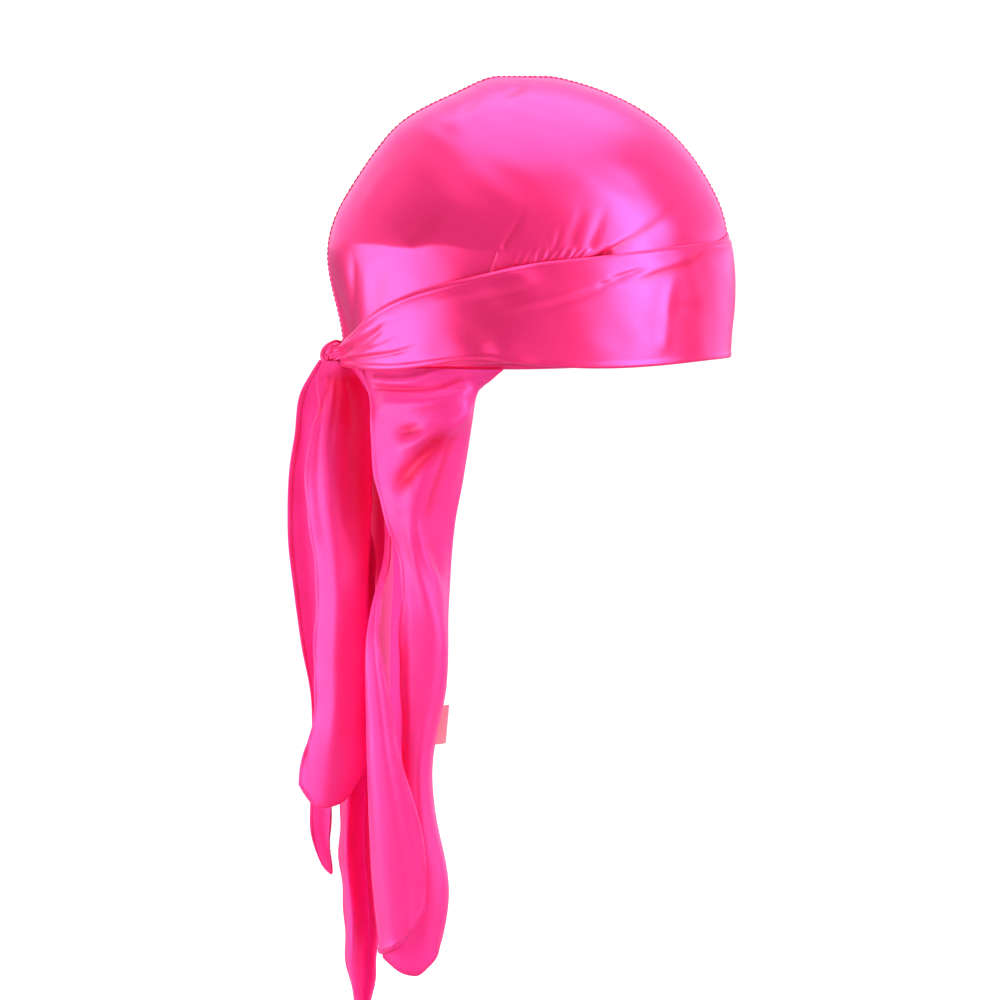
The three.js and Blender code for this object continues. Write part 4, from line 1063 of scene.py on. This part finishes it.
def finishes(scene):
    """The materials of the pieces, each made when it is first asked for."""
    finish = scene.durag_finish
    return SimpleNamespace(
        satin=satin_material(
            "dyed_satin", finish.satin, finish.painted_shade_satin, finish, finish.roughness,
            0.00002, unevenness=0.5),
        # The hanging cloth's satin is painted lighter and pinker than the crown's, as painted light
        # for the light that comes through it, and its creases take a lighter painted shade
        hanging=satin_material(
            "painted_backlit_satin", finish.painted_backlit_satin, finish.painted_shade_hanging, finish,
            finish.roughness + 0.1, 0.00003, unevenness=0.5, glow=finish.glow),
        seam=satin_material(
            "seam_satin", [0.95 * v for v in finish.satin], finish.painted_shade_satin, finish,
            finish.roughness + 0.08, 0.00003),
        thread=satin_material(
            "sewing_thread", finish.thread, finish.painted_shade_satin, finish, 0.5, 0.00003),
        label=label_material(finish),
    )


def add_piece(name, mesh, material, slot, *nodes):
    """A piece of the durag, which stands for the named solids, if any."""
    piece = bpy.data.objects.new(name, mesh)
    bpy.context.scene.collection.objects.link(piece)
    mesh.materials.append(material)
    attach(piece, "root")
    if nodes:
        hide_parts(*nodes)
    return piece


def add_thread(name, paths, size, scale):
    """A piece of sewing thread, its thickness times the scale."""
    mesh = thread_mesh(name, paths, size.thread * scale / 2)
    return add_piece(name, mesh, finishes(bpy.context.scene).thread, "satin_seam")


# ---------------------------------------------------------------- sizes and colours
class DURAG_PG_wrap(bpy.types.PropertyGroup):
    """Sizes of the crown and the band"""
    crown_length: FloatProperty(
        name="Crown length", description="From forehead to nape, to the middle of the cloth",
        default=0.201, min=0.1, max=0.4, unit="LENGTH")
    crown_width: FloatProperty(
        name="Crown width", description="From side to side, to the middle of the cloth",
        default=0.158, min=0.1, max=0.3, unit="LENGTH")
    crown_height: FloatProperty(
        name="Crown height", description="From the hem up to the seam over the top",
        default=0.141, min=0.05, max=0.3, unit="LENGTH")
    band_width: FloatProperty(
        name="Band width", description="Height of the band that the wound ties make",
        default=0.058, min=0.02, max=0.1, unit="LENGTH")
    front_hem_rise: FloatProperty(
        name="Front hem rise",
        description="How far the crown's hem lies above the ears at the front",
        default=0.0055, min=0, max=0.02, unit="LENGTH")
    cloth_thickness: FloatProperty(
        name="Cloth thickness", description="Thickness of one layer of satin",
        default=0.0006, min=0.0002, max=0.002, unit="LENGTH")
    fold_depth: FloatProperty(
        name="Fold depth", description="Share of the drawn folds' depth that the cloth shows",
        default=1.0, min=0, max=2, subtype="FACTOR")


class DURAG_PG_hanging(bpy.types.PropertyGroup):
    """Sizes of the cape, the tails and their hems"""
    cape_length: FloatProperty(
        name="Cape length", description="How far the cape hangs below the hem",
        default=0.302, min=0.1, max=0.5, unit="LENGTH")
    short_tail_length: FloatProperty(
        name="Short tail length", description="How far the short tail hangs below the hem",
        default=0.256, min=0.1, max=0.5, unit="LENGTH")
    short_tail_spread: FloatProperty(
        name="Short tail spread", description="Width that the short tail's folds are spread over",
        default=0.040, min=0.01, max=0.1, unit="LENGTH")
    long_tail_length: FloatProperty(
        name="Long tail length", description="How far the long tail hangs below the hem",
        default=0.330, min=0.1, max=0.6, unit="LENGTH")
    long_tail_spread: FloatProperty(
        name="Long tail spread", description="Width that the long tail's folds are spread over",
        default=0.020, min=0.01, max=0.1, unit="LENGTH")
    hem_width: FloatProperty(
        name="Hem width", description="Width of the rolled hem along free edges",
        default=0.0028, min=0.001, max=0.01, unit="LENGTH")
    stitch_length: FloatProperty(
        name="Stitch length", description="Length of one stitch of the hems and the seam",
        default=0.0026, min=0.001, max=0.006, unit="LENGTH")
    thread_thickness: FloatProperty(
        name="Thread thickness", description="Thickness of the sewing thread",
        default=0.00046, min=0.0001, max=0.001, unit="LENGTH")


class DURAG_PG_finish(bpy.types.PropertyGroup):
    """Colours and gloss of the satin, the thread and the label"""
    satin: FloatVectorProperty(
        name="Satin", description="Colour of the dyed satin", subtype="COLOR",
        default=(0.96, 0.024, 0.175), min=0, max=1)
    # Painted light: the crown's satin painted lighter and pinker for the light that comes through
    # the hanging cloth
    painted_backlit_satin: FloatVectorProperty(
        name="Painted backlit satin", description="Colour of the satin that light comes through",
        subtype="COLOR",
        default=(0.97, 0.034, 0.24), min=0, max=1)
    # Painted shade: the colour mixed into the satin in its creases
    painted_shade_satin: FloatVectorProperty(
        name="Painted shade satin", description="Colour of the satin in its creases", subtype="COLOR",
        default=(0.6, 0.003, 0.035), min=0, max=1)
    # Painted shade of the hanging cloth in its creases, lighter than the crown's
    painted_shade_hanging: FloatVectorProperty(
        name="Painted shade hanging satin", description="Colour of the hanging satin in its creases",
        subtype="COLOR",
        default=(0.72, 0.004, 0.055), min=0, max=1)
    highlight: FloatVectorProperty(
        name="Highlight", description="Tint of the satin's gloss", subtype="COLOR",
        default=(1.0, 0.4, 1.0), min=0, max=1)
    thread: FloatVectorProperty(
        name="Thread", description="Colour of the sewing thread", subtype="COLOR",
        default=(0.42, 0.004, 0.05), min=0, max=1)
    label: FloatVectorProperty(
        name="Label", description="Colour of the label tape", subtype="COLOR",
        default=(0.78, 0.24, 0.34), min=0, max=1)
    roughness: FloatProperty(
        name="Roughness", description="Softness of the satin's gloss",
        default=0.3, min=0.05, max=1, subtype="FACTOR")
    lustre: FloatProperty(
        name="Lustre", description="Share of the gloss that takes the satin's own colour",
        default=0.55, min=0, max=1, subtype="FACTOR")
    glow: FloatProperty(
        name="Glow", description="How much light comes through the hanging cloth",
        default=0.8, min=0, max=1, subtype="FACTOR")
    gloss: FloatProperty(
        name="Gloss", description="Strength of the satin's gloss",
        default=1.0, min=0, max=1, subtype="FACTOR")
    sheen: FloatProperty(
        name="Sheen", description="Strength of the soft light at the cloth's rims",
        default=0.15, min=0, max=1, subtype="FACTOR")
    thread_spacing: FloatProperty(
        name="Thread spacing", description="Distance between the threads of the weave",
        default=0.0004, min=0.0001, max=0.002, unit="LENGTH")


class DURAG_PG_stage(bpy.types.PropertyGroup):
    """The floor and the lights"""
    floor_drop: FloatProperty(
        name="Floor drop", description="How far the floor lies below the hem",
        default=0.42, min=0.34, max=2, unit="LENGTH")
    floor_colour: FloatVectorProperty(
        name="Floor", description="Colour of the floor", subtype="COLOR",
        default=(0.3, 0.3, 0.3), min=0, max=1)
    key_light: FloatProperty(
        name="Key light", description="Power of the tall light at the front",
        default=23, min=0, max=500, unit="POWER")
    top_light: FloatProperty(
        name="Top light", description="Power of the wide light above",
        default=39, min=0, max=500, unit="POWER")
    low_light: FloatProperty(
        name="Low light", description="Power of the low light behind the knot's side",
        default=6.4, min=0, max=500, unit="POWER")
    rim_light: FloatProperty(
        name="Rim light", description="Power of the small light behind the forehead",
        default=2.4, min=0, max=500, unit="POWER")


# ---------------------------------------------------------------- pieces
class DURAG_OT_crown(bpy.types.Operator):
    """Make the two panels of the crown, gathered and folded over the head"""
    bl_idname = "durag.crown"
    bl_label = "Crown Panels"

    def execute(self, context):
        size = shape_sizes(context.scene)
        satin = finishes(context.scene).satin
        self.make("right", 1, size, spaced(270, (0.47, 0.09, 2.6)),
                  spaced(128, (0.245, 0.035, 2.6)), satin, CROWN_FOLDS)
        self.make("left", -1, size, spaced(150), spaced(90), satin, LEFT_CROWN_FOLDS)
        return {"FINISHED"}

    def make(self, word, side, size, across, climb, satin, folds):
        """One panel, with side 1 for the wearer's right and -1 for the left."""
        grid, crease_shade = crown_panel(size, side, folds, 0.5 * across, climb[::-1])
        thickness, hem = hem_thickness(size, grid, ("foot",))
        outward = grid - np.array([0, 0, CROWN_CORE * size.height])
        name = f"crown_{word}_cloth"
        mesh, _ = cloth_mesh(name, grid, outward, thickness, crease_shade, hem)
        piece = add_piece(name, mesh, satin, "satin_cloth", f"crown_{word}_panel")


class DURAG_OT_seam(bpy.types.Operator):
    """Make the seam over the top, with its puckers and the stitches beside it"""
    bl_idname = "durag.seam"
    bl_label = "Centre Seam"

    def execute(self, context):
        size = shape_sizes(context.scene)
        count = 420
        first = float(climb_to(size, size.hem_rise))
        share = np.linspace(-1, 1, count)
        climb = 1 - np.abs(share)
        climb = np.where(share < 0, first + (1 - first) * climb, climb)
        front = size.length * CROWN_FRONT(climb)
        back = -size.length * CROWN_BACK(climb)
        x = np.where(share < 0, front, back)
        top = np.abs(share) < 0.012
        ends = (x[~top & (share < 0)][-1], x[~top & (share > 0)][0])
        x[top] = np.interp(share[top], (-0.012, 0.012), ends)
        line = np.stack([x, 0 * x, size.height * np.sin(climb * np.pi / 2)], -1)
        keep = np.concatenate([[True], np.linalg.norm(np.diff(line, axis=0), axis=1) > 0.02])
        line = line[keep]
        run = run_along(line)
        even = np.linspace(0, run[-1], 640)
        line = taken_at(even, run, line)
        tangent = unit(np.gradient(line, axis=0))
        off = np.stack([-tangent[:, 2], 0 * even, tangent[:, 0]], 1)
        off *= np.sign((off * line).sum(1).mean())
        sway = 0.12 * np.sin(even / 7.0) + 0.08 * np.sin(even / 3.1 + 1)
        self.ribbon(line, off, sway, even, finishes(context.scene).seam)
        paths = []
        for side in (-1, 1):
            beside = line + off * 0.42
            beside[:, 1] += side * 0.82 + sway
            paths.append(stitch_path(size, beside, off + np.array([0, 0.35 * side, 0]), 0.75, 0.5))
        add_thread("top_seam_stitches", paths, size, 0.9)
        return {"FINISHED"}

    def ribbon(self, line, off, sway, run, satin):
        """The raised ribbon of the seam, with the groove where the panels meet."""
        sides = 20
        turn = np.linspace(0, 2 * np.pi, sides, endpoint=False)
        pucker = 1 + 0.1 * puckers(run)
        wide = SEAM_HALF_WIDTH * np.sign(np.cos(turn)) * np.abs(np.cos(turn)) ** 0.8
        groove = 0.28 * np.exp(-(np.cos(turn) / 0.22) ** 2) * (np.sin(turn) > 0)
        tall = 0.8 * np.sin(turn) - groove
        ring = line[:, None, :] + off[:, None, :] * (
            0.15 + tall[None, :, None] * pucker[:, None, None])
        ring[..., 1] += wide[None, :] + sway[:, None]
        caps = [[base + a, base + a + 1, base + sides - 2 - a, base + sides - 1 - a]
                for base in (0, (len(run) - 1) * sides) for a in range(sides // 2 - 1)]
        faces = np.concatenate([tube_quads(len(run), sides), caps])
        mesh = make_mesh("top_seam", ring.reshape(-1, 3), faces)
        # Painted shade in the groove where the panels meet
        crease_shade = np.broadcast_to(2.5 * groove, (len(run), sides)).ravel()
        set_cloth_marks(mesh, flat_tube(1.3 * turn, run), crease_shade)
        add_piece("top_seam", mesh, satin, "satin_seam", "centre_seam")


class DURAG_OT_ties(bpy.types.Operator):
    """Make the two ties that are wound round the crown into a wide band"""
    bl_idname = "durag.ties"
    bl_label = "Wound Ties"

    def execute(self, context):
        size = shape_sizes(context.scene)
        satin = finishes(context.scene).satin
        self.make("outer", size, OUTER_TIE, 3.0, outer_tie_relief(size),
                  spaced(400, (0.72, 0.16, 0.8)), spaced(68, (0.0, 0.06, 1.0)), satin)
        self.make("inner", size, INNER_TIE, 1.6, inner_tie_relief(size),
                  spaced(300), spaced(40), satin)
        return {"FINISHED"}

    def make(self, word, size, rows, out, relief, across, down, satin):
        """One tie round the head, at its distance out from the crown's outline."""
        name = f"{word}_tie_cloth"
        start, finish = rows["around"][0], rows["around"][-1]
        around = start + (finish - start) * across
        grid, crease_shade, away = wound_tie(size, rows, out, relief, around, down)
        thickness, hem = hem_thickness(size, grid, ("foot", "top"))
        mesh, normal = cloth_mesh(name, grid, away, thickness, crease_shade, hem)
        piece = add_piece(name, mesh, satin, "satin_cloth", f"{word}_strap_wrap")
        normal = normal * np.sign((normal * away).sum())
        paths = [overlock_path(size, grid, normal, edge) for edge in ("foot", "top")]
        threads = add_thread(name + "_hem", paths, size, 0.8)


# The wraps of cloth that make the knot, a row each: its path in millimetres from the
# knot's middle, half its thickness and width, its number of pleats and their twist.
KNOT_WRAPS = table(
    "path thin wide pleats twist",
    (((6.5, -10.5, 1.5), (2.5, -7.5, 1), (-1.2, -3, -0.6), (-1.6, 1.5, -1), (0.8, 6.5, 0.2),
      (5.5, 10.5, 1.2)), 2.5, 3.3, 5, 0.2),
    (((4.2, 3.2, 3.4), (0.8, 0.6, 5), (-3.2, -1.6, 2.6), (-4.2, -3, -1.6), (-1.8, -3.8, -5.2),
      (-0.6, -4.4, -8.6)), 2.0, 3.0, 4, 0.9),
    (((4, -5.6, 4.6), (0.8, -5.8, 3.6), (-2, -4.6, 0.6), (-1.2, -2.2, -3.4), (1.2, 1.8, -6.4),
      (1.6, 3, -9)), 1.7, 2.7, 4, 0.4),
    (((2.4, 7, 2.4), (-1.2, 4.8, 3), (-3.2, 1.2, 0.4), (-2.6, -2.2, -3.6), (-1, -3.4, -7)),
     1.5, 2.4, 4, 1.4),
)


class DURAG_OT_knot(bpy.types.Operator):
    """Make the knot of pleated cloth where the ties turn round each other"""
    bl_idname = "durag.knot"
    bl_label = "Knot"

    def execute(self, context):
        size = shape_sizes(context.scene)
        middle = np.array([size.knot_x, 0, size.knot_height])
        around, along = 44, 84
        angle = np.linspace(0, 2 * np.pi, around, endpoint=False)[None, :]
        s = np.linspace(0, 1, along)
        swell = np.sin(np.pi * np.clip(0.12 + 0.76 * s, 0, 1)) ** 0.7
        taper = (0.62 + 0.38 * swell) * soft_step(0, 0.05, s) ** 0.5 * soft_step(1, 0.95, s) ** 0.5
        places, faces, flats, creases = [], [], [], []
        for path, thin, wide, pleats, twist in zip(*KNOT_WRAPS.values()):
            line = smooth_curve(np.linspace(0, 1, len(path)), middle + path)(s)
            tangent = unit(np.gradient(line, axis=0))
            out = line - middle - np.array([5, 0, 0])
            out = unit(out - tangent * (out * tangent).sum(1, keepdims=True))
            side = np.cross(tangent, out)
            ripples = 1 + 0.16 * np.cos(pleats * angle * 2 + twist * 4 * s[:, None] + pleats) \
                + 0.05 * np.cos(9 * angle - 5 * s[:, None])
            reach = taper[:, None] * ripples
            ring = line[:, None] + out[:, None] * (thin * reach * np.cos(angle))[..., None] \
                + side[:, None] * (wide * reach * np.sin(angle))[..., None]
            places.append(ring.reshape(-1, 3))
            # Painted shade in the hollows between the pleats
            creases.append(np.clip((1.02 - ripples) * 2.2, 0, 1).ravel())
            flats.append(flat_tube(wide * angle, run_along(line)))
            faces.append(tube_quads(along, around) + len(faces) * along * around)
        mesh = make_mesh("knot_wraps", np.concatenate(places), np.concatenate(faces))
        set_cloth_marks(mesh, np.concatenate(flats), np.concatenate(creases))
        add_piece("knot_wraps", mesh, finishes(context.scene).seam, "satin_seam", "knot")
        return {"FINISHED"}


def hang_piece(name, node_name, size, grid, drop, relief, facing, crease_shade=0.0):
    """A hanging piece with its folds, hem, shade painted into its creases and overlocked edges.

    facing gives the shares of the cloth's width between which it faces down an axis.
    """
    edges = ("left", "right", "foot")
    first, last, axis = facing
    columns = grid.shape[1]
    outward = np.zeros_like(grid)
    outward[:, round(first * columns):round(last * columns), axis] = -1
    normal, _ = grid_normals(grid, outward)
    across_length, down_length = lengths(grid)
    loose = 0.35 * ripple(across_length, 0.45 * down_length, sum(map(ord, name)))
    top_hold = soft_step(0, 0.03, drop - drop.min())
    stand = size.folds * (relief + loose * top_hold)
    grid = grid + normal * stand[..., None]
    thickness, hem = hem_thickness(size, grid, edges)
    near_edge = edge_distance(grid, edges)
    ruffle = 0.5 * np.sin(down_length / 4.3 + np.sin(across_length / 11)) * np.exp(-near_edge / 4)
    grid = grid + normal * (ruffle * top_hold)[..., None]
    mesh, normal = cloth_mesh(name, grid, outward, thickness, crease_shade, hem)
    satin = finishes(bpy.context.scene).hanging
    piece = add_piece(name, mesh, satin, "satin_cloth", node_name)
    paths = [overlock_path(size, grid, normal, edge) for edge in edges]
    threads = add_thread(name + "_hem", paths, size, 1.2)
    return piece, threads


class DURAG_OT_cape(bpy.types.Operator):
    """Make the two flaps of the cape, which hang from the hem behind the ears"""
    bl_idname = "durag.cape"
    bl_label = "Cape Flaps"

    def execute(self, context):
        size = shape_sizes(context.scene)
        place = lambda spot: (spot[0] * size.length, spot[1] * size.width)
        rim = lambda turns: crown_outline(size, np.array(turns), np.array(0.0))[:2]
        self.right(size, place, rim)
        self.left(size, place, rim)
        return {"FINISHED"}

    def right(self, size, place, rim):
        """The right flap, in front, with the folds drawn in the view from the side."""
        across = spaced(150)
        down = spaced(240, (0.08, 0.1, 1.6))
        grid, drop = hanging_cloth(
            across, down, RIGHT_FLAP, place, lambda column: rim(RIGHT_FLAP_RIM[column]),
            -0.1, size.cape, RIGHT_FLAP_ENDS)
        drawn, crease_shade = fold_relief(*seen_from_side(grid), FLAP_FOLDS)
        front = soft_step(0.72, 0.58, across)[None, :] * soft_step(0, 0.05, across)[None, :]
        held_in = 0.4 * np.exp(-drop / 0.02)
        relief = hang_relief(RIGHT_FLAP_HANG, across, drop) + (drawn - held_in) * front
        piece, threads = hang_piece(
            "cape_right_cloth", "cape_right_flap", size, grid, drop, relief, (0, 0.42, 1),
            crease_shade * front)

    def left(self, size, place, rim):
        """The left flap, which goes round the nape and turns over at its edge."""
        across = spaced(190)
        down = spaced(165, (0.05, 0.1, 0.6))
        grid, drop = hanging_cloth(
            across, down, LEFT_FLAP, place, lambda column: rim(LEFT_FLAP_RIM[column]),
            -0.1, size.cape, LEFT_FLAP_ENDS)
        # Only the painted shade of FLAP_SHADE is used, on the turned-in part of the flap: the cloth
        # is not moved
        _, crease_shade = fold_relief(*seen_from_side(grid), FLAP_SHADE)
        crease_shade = crease_shade * soft_step(0.36, 0.5, across)[None, :]
        relief = hang_relief(LEFT_FLAP_HANG, across, drop)
        piece, threads = hang_piece(
            "cape_left_cloth", "cape_left_flap", size, grid, drop, relief, (0.33, 0.5, 0), crease_shade)


class DURAG_OT_tails(bpy.types.Operator):
    """Make the two tails of the ties, which hang from the knot in long folds"""
    bl_idname = "durag.tails"
    bl_label = "Tails"

    def execute(self, context):
        size = shape_sizes(context.scene)
        top_height = size.knot_height - TAIL_TOP_DROP
        self.short(size, top_height)
        self.long(size, top_height)
        return {"FINISHED"}

    def short(self, size, top_height):
        """The short tail, folded in two, with the tip of its back layer below."""
        spread = size.short_spread
        place = lambda spot: (size.knot_x + spot[0] * spread, spot[1] * spread)
        across = spaced(150)
        down = spaced(220, (0.03, 0.08, 1.2))
        grid, drop = hanging_cloth(
            across, down, SHORT_TAIL, place, lambda column: place(SHORT_TAIL_TOP[column]),
            top_height, size.short_tail, SHORT_TAIL_ENDS)
        drawn, crease_shade = fold_relief(*seen_from_side(grid), TAIL_FOLDS)
        front = soft_step(0.54, 0.48, across)[None, :]
        relief = hang_relief(SHORT_TAIL_HANG, across, drop) + drawn * front
        relief = relief * (0.4 + 0.6 * soft_step(0.0, 0.16, drop))
        piece, threads = hang_piece(
            "short_tail_cloth", "short_tail", size, grid, drop, relief, (0.125, 0.375, 1),
            crease_shade * front)

    def long(self, size, top_height):
        """The long tail, folded in three."""
        spread = size.long_spread
        place = lambda spot: (size.knot_x + spot[0] * spread, spot[1] * spread)
        across = spaced(80)
        down = spaced(220, (0.03, 0.08, 1.0))
        grid, drop = hanging_cloth(
            across, down, LONG_TAIL, place, lambda column: place(LONG_TAIL_TOP[column]),
            top_height, size.long_tail, LONG_TAIL_ENDS)
        relief = 0.8 * hang_relief(LONG_TAIL_HANG, across, drop) * soft_step(0.0, 0.12, drop)
        piece, threads = hang_piece(
            "long_tail_cloth", "long_tail", size, grid, drop, relief, (0.15, 0.39, 0))


class DURAG_OT_label(bpy.types.Operator):
    """Make the bare label tape that is sewn into the edge of the cape"""
    bl_idname = "durag.label"
    bl_label = "Care Label"

    def execute(self, context):
        size = shape_sizes(context.scene)
        low, high = (1000 * np.array(corner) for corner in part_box("care_label"))
        across, down = np.meshgrid(np.linspace(0, 1, 28), np.linspace(0, 1, 44))
        lean = 1.9
        x = low[0] + lean + (high[0] - low[0] - lean) * across - 0.9 * lean * down
        curl = 1.6 * across ** 2 * np.sin(np.pi * (0.2 + 0.8 * down))
        y = 0.5 * (low[1] + high[1]) - 0.25 * curl + 0.25 * np.sin(4 * down + 2 * across)
        z = high[2] - (high[2] - low[2]) * down + 0.5 * across - 0.4 * np.sin(np.pi * across)
        grid = np.stack([x, y, z], -1)
        edge = edge_distance(grid, ("top", "foot"))
        ribs = np.exp(-edge / 0.5)
        outward = np.zeros_like(grid)
        outward[..., 1] = -1
        mesh, normal = cloth_mesh("label_tape", grid, outward, 0.32 + 0.12 * ribs, 0.0, ribs)
        tape = finishes(context.scene).label
        piece = add_piece("label_tape", mesh, tape, "label_tape", "care_label")
        sewn = stitch_path(size, grid[:, 3], normal[:, 3], 0.7, 0.3)
        stitches = add_thread("label_stitches", [sewn], size, 0.9)
        return {"FINISHED"}


# ---------------------------------------------------------------- stage
class DURAG_OT_stage(bpy.types.Operator):
    """Make the pale floor, the studio lights and the camera at the side of the head"""
    bl_idname = "durag.stage"
    bl_label = "Stage"

    def execute(self, context):
        stage = context.scene.durag_stage
        self.floor(stage)
        self.world(context.scene)
        self.light("key_light", stage.key_light, (0.98, -0.85, 0.36), (0.64, 1.5), (0, 0, 0.36))
        self.light("top_light", stage.top_light, (0.05, -0.1, 1.5), (1.8, 2.6), (0.05, -0.1, 0))
        self.light("low_light", stage.low_light, (-0.73, -0.24, -0.2), (1.0, 0.42),
                   (0.219, 0.082, -0.2))
        self.light("rim_light", stage.rim_light, (0.95, 0.65, -0.12), (0.9, 0.5), (0, 0, -0.12))
        self.camera(context.scene)
        return {"FINISHED"}

    def floor(self, stage):
        """A wide round floor that looks white to the camera and lights nothing."""
        turn = np.linspace(0, 2 * np.pi, 96, endpoint=False)
        places = [(r * math.cos(a), r * math.sin(a), -stage.floor_drop)
                  for r in (0.6, 2, 6, 30) for a in turn]
        faces = [tuple(range(96))] + [tuple(quad[::-1]) for quad in tube_quads(4, 96).tolist()]
        mesh = bpy.data.meshes.new("floor")
        mesh.from_pydata(places, [], faces)
        floor = bpy.data.objects.new("floor", mesh)
        bpy.context.scene.collection.objects.link(floor)
        material = bpy.data.materials.new("pale_floor")
        material.use_nodes = True
        tree = material.node_tree
        shader = tree.nodes["Principled BSDF"]
        place = node(tree, "ShaderNodeTexCoord").outputs["Object"]
        grain = node(tree, "ShaderNodeTexNoise", {"Vector": place, "Scale": 60.0, "Detail": 3.0})
        pale = tuple(stage.floor_colour)
        colour = mix_colour(tree, calc(tree, "MULTIPLY", grain.outputs[0], 0.04),
                            (*pale, 1), (*(0.9 * v for v in pale), 1))
        tree.links.new(colour, shader.inputs["Base Color"])
        shader.inputs["Roughness"].default_value = 0.85
        path = node(tree, "ShaderNodeLightPath")
        glow = mix_colour(tree, path.outputs["Is Camera Ray"], (0, 0, 0, 1), (0.9, 0.9, 0.9, 1))
        tree.links.new(glow, shader.inputs["Emission Color"])
        shader.inputs["Emission Strength"].default_value = 1.0
        mesh.materials.append(material)

    def world(self, scene):
        """White behind the object, and a room that is brighter behind it than in front."""
        world = bpy.data.worlds.new("studio")
        scene.world = world
        world.use_nodes = True
        tree = world.node_tree
        tree.nodes.clear()
        facing = node(tree, "ShaderNodeTexCoord").outputs["Generated"]
        split = node(tree, "ShaderNodeSeparateXYZ", {0: facing})
        behind = node(tree, "ShaderNodeMapRange", {
            "Value": split.outputs["Y"], "From Min": -0.5, "From Max": 0.75,
            "To Min": 0.25, "To Max": 1.25})
        path = node(tree, "ShaderNodeLightPath")
        white, room = (
            node(tree, "ShaderNodeBackground", {"Color": (1, 1, 1, 1), "Strength": strength})
            for strength in (1.1, behind.outputs[0]))
        both = node(tree, "ShaderNodeMixShader", {
            0: path.outputs["Is Camera Ray"], 1: room.outputs[0], 2: white.outputs[0]})
        node(tree, "ShaderNodeOutputWorld", {"Surface": both.outputs[0]})
        scene.view_settings.view_transform = "Standard"

    def light(self, name, power, place, size, target):
        """A wide lamp that looks at its target."""
        lamp = bpy.data.lights.new(name, "AREA")
        lamp.shape = "RECTANGLE"
        lamp.size, lamp.size_y = size
        lamp.energy = power
        light = bpy.data.objects.new(name, lamp)
        light.location = place
        aim = Vector(target) - Vector(place)
        light.rotation_euler = aim.to_track_quat("-Z", "Y").to_euler()
        light.visible_camera = False
        bpy.context.scene.collection.objects.link(light)

    def camera(self, scene):
        """A long lens, level with the band and looking slightly down."""
        lens = bpy.data.cameras.new("side_camera")
        lens.lens = 216
        lens.sensor_width = 36
        lens.clip_end = 100
        camera = bpy.data.objects.new("side_camera", lens)
        target = Vector((-0.016, 0, -0.0695))
        tilt = math.radians(4.5)
        aim = Vector((0, math.cos(tilt), -math.sin(tilt)))
        camera.location = target - 3.0 * aim
        camera.rotation_euler = aim.to_track_quat("-Z", "Y").to_euler()
        scene.collection.objects.link(camera)
        scene.camera = camera


class DURAG_PT_panel(bpy.types.Panel):
    """The durag's pieces with their sizes and colours"""
    bl_idname = "DURAG_PT_panel"
    bl_label = "Satin Durag"
    bl_space_type = "VIEW_3D"
    bl_region_type = "UI"
    bl_category = "Durag"

    def draw(self, context):
        layout = self.layout
        for group in ("durag_wrap", "durag_hanging", "durag_finish", "durag_stage"):
            settings = getattr(context.scene, group)
            box = layout.box()
            for name in settings.__annotations__:
                box.prop(settings, name)
        for operator in PIECES:
            layout.operator(operator.bl_idname)


GROUPS = {
    "durag_wrap": DURAG_PG_wrap,
    "durag_hanging": DURAG_PG_hanging,
    "durag_finish": DURAG_PG_finish,
    "durag_stage": DURAG_PG_stage,
}
PIECES = (DURAG_OT_stage, DURAG_OT_crown, DURAG_OT_seam, DURAG_OT_ties, DURAG_OT_knot,
          DURAG_OT_cape, DURAG_OT_tails, DURAG_OT_label)


def register():
    for kind in (*GROUPS.values(), *PIECES, DURAG_PT_panel):
        bpy.utils.register_class(kind)
    for name, kind in GROUPS.items():
        setattr(bpy.types.Scene, name, PointerProperty(type=kind))


def unregister():
    for name in GROUPS:
        delattr(bpy.types.Scene, name)
    for kind in reversed((*GROUPS.values(), *PIECES, DURAG_PT_panel)):
        bpy.utils.unregister_class(kind)


def main():
    register()
    bpy.ops.durag.stage()
    bpy.ops.durag.crown()
    bpy.ops.durag.seam()
    bpy.ops.durag.ties()
    bpy.ops.durag.knot()
    bpy.ops.durag.cape()
    bpy.ops.durag.tails()
    bpy.ops.durag.label()


if __name__ == "__main__":
    main()
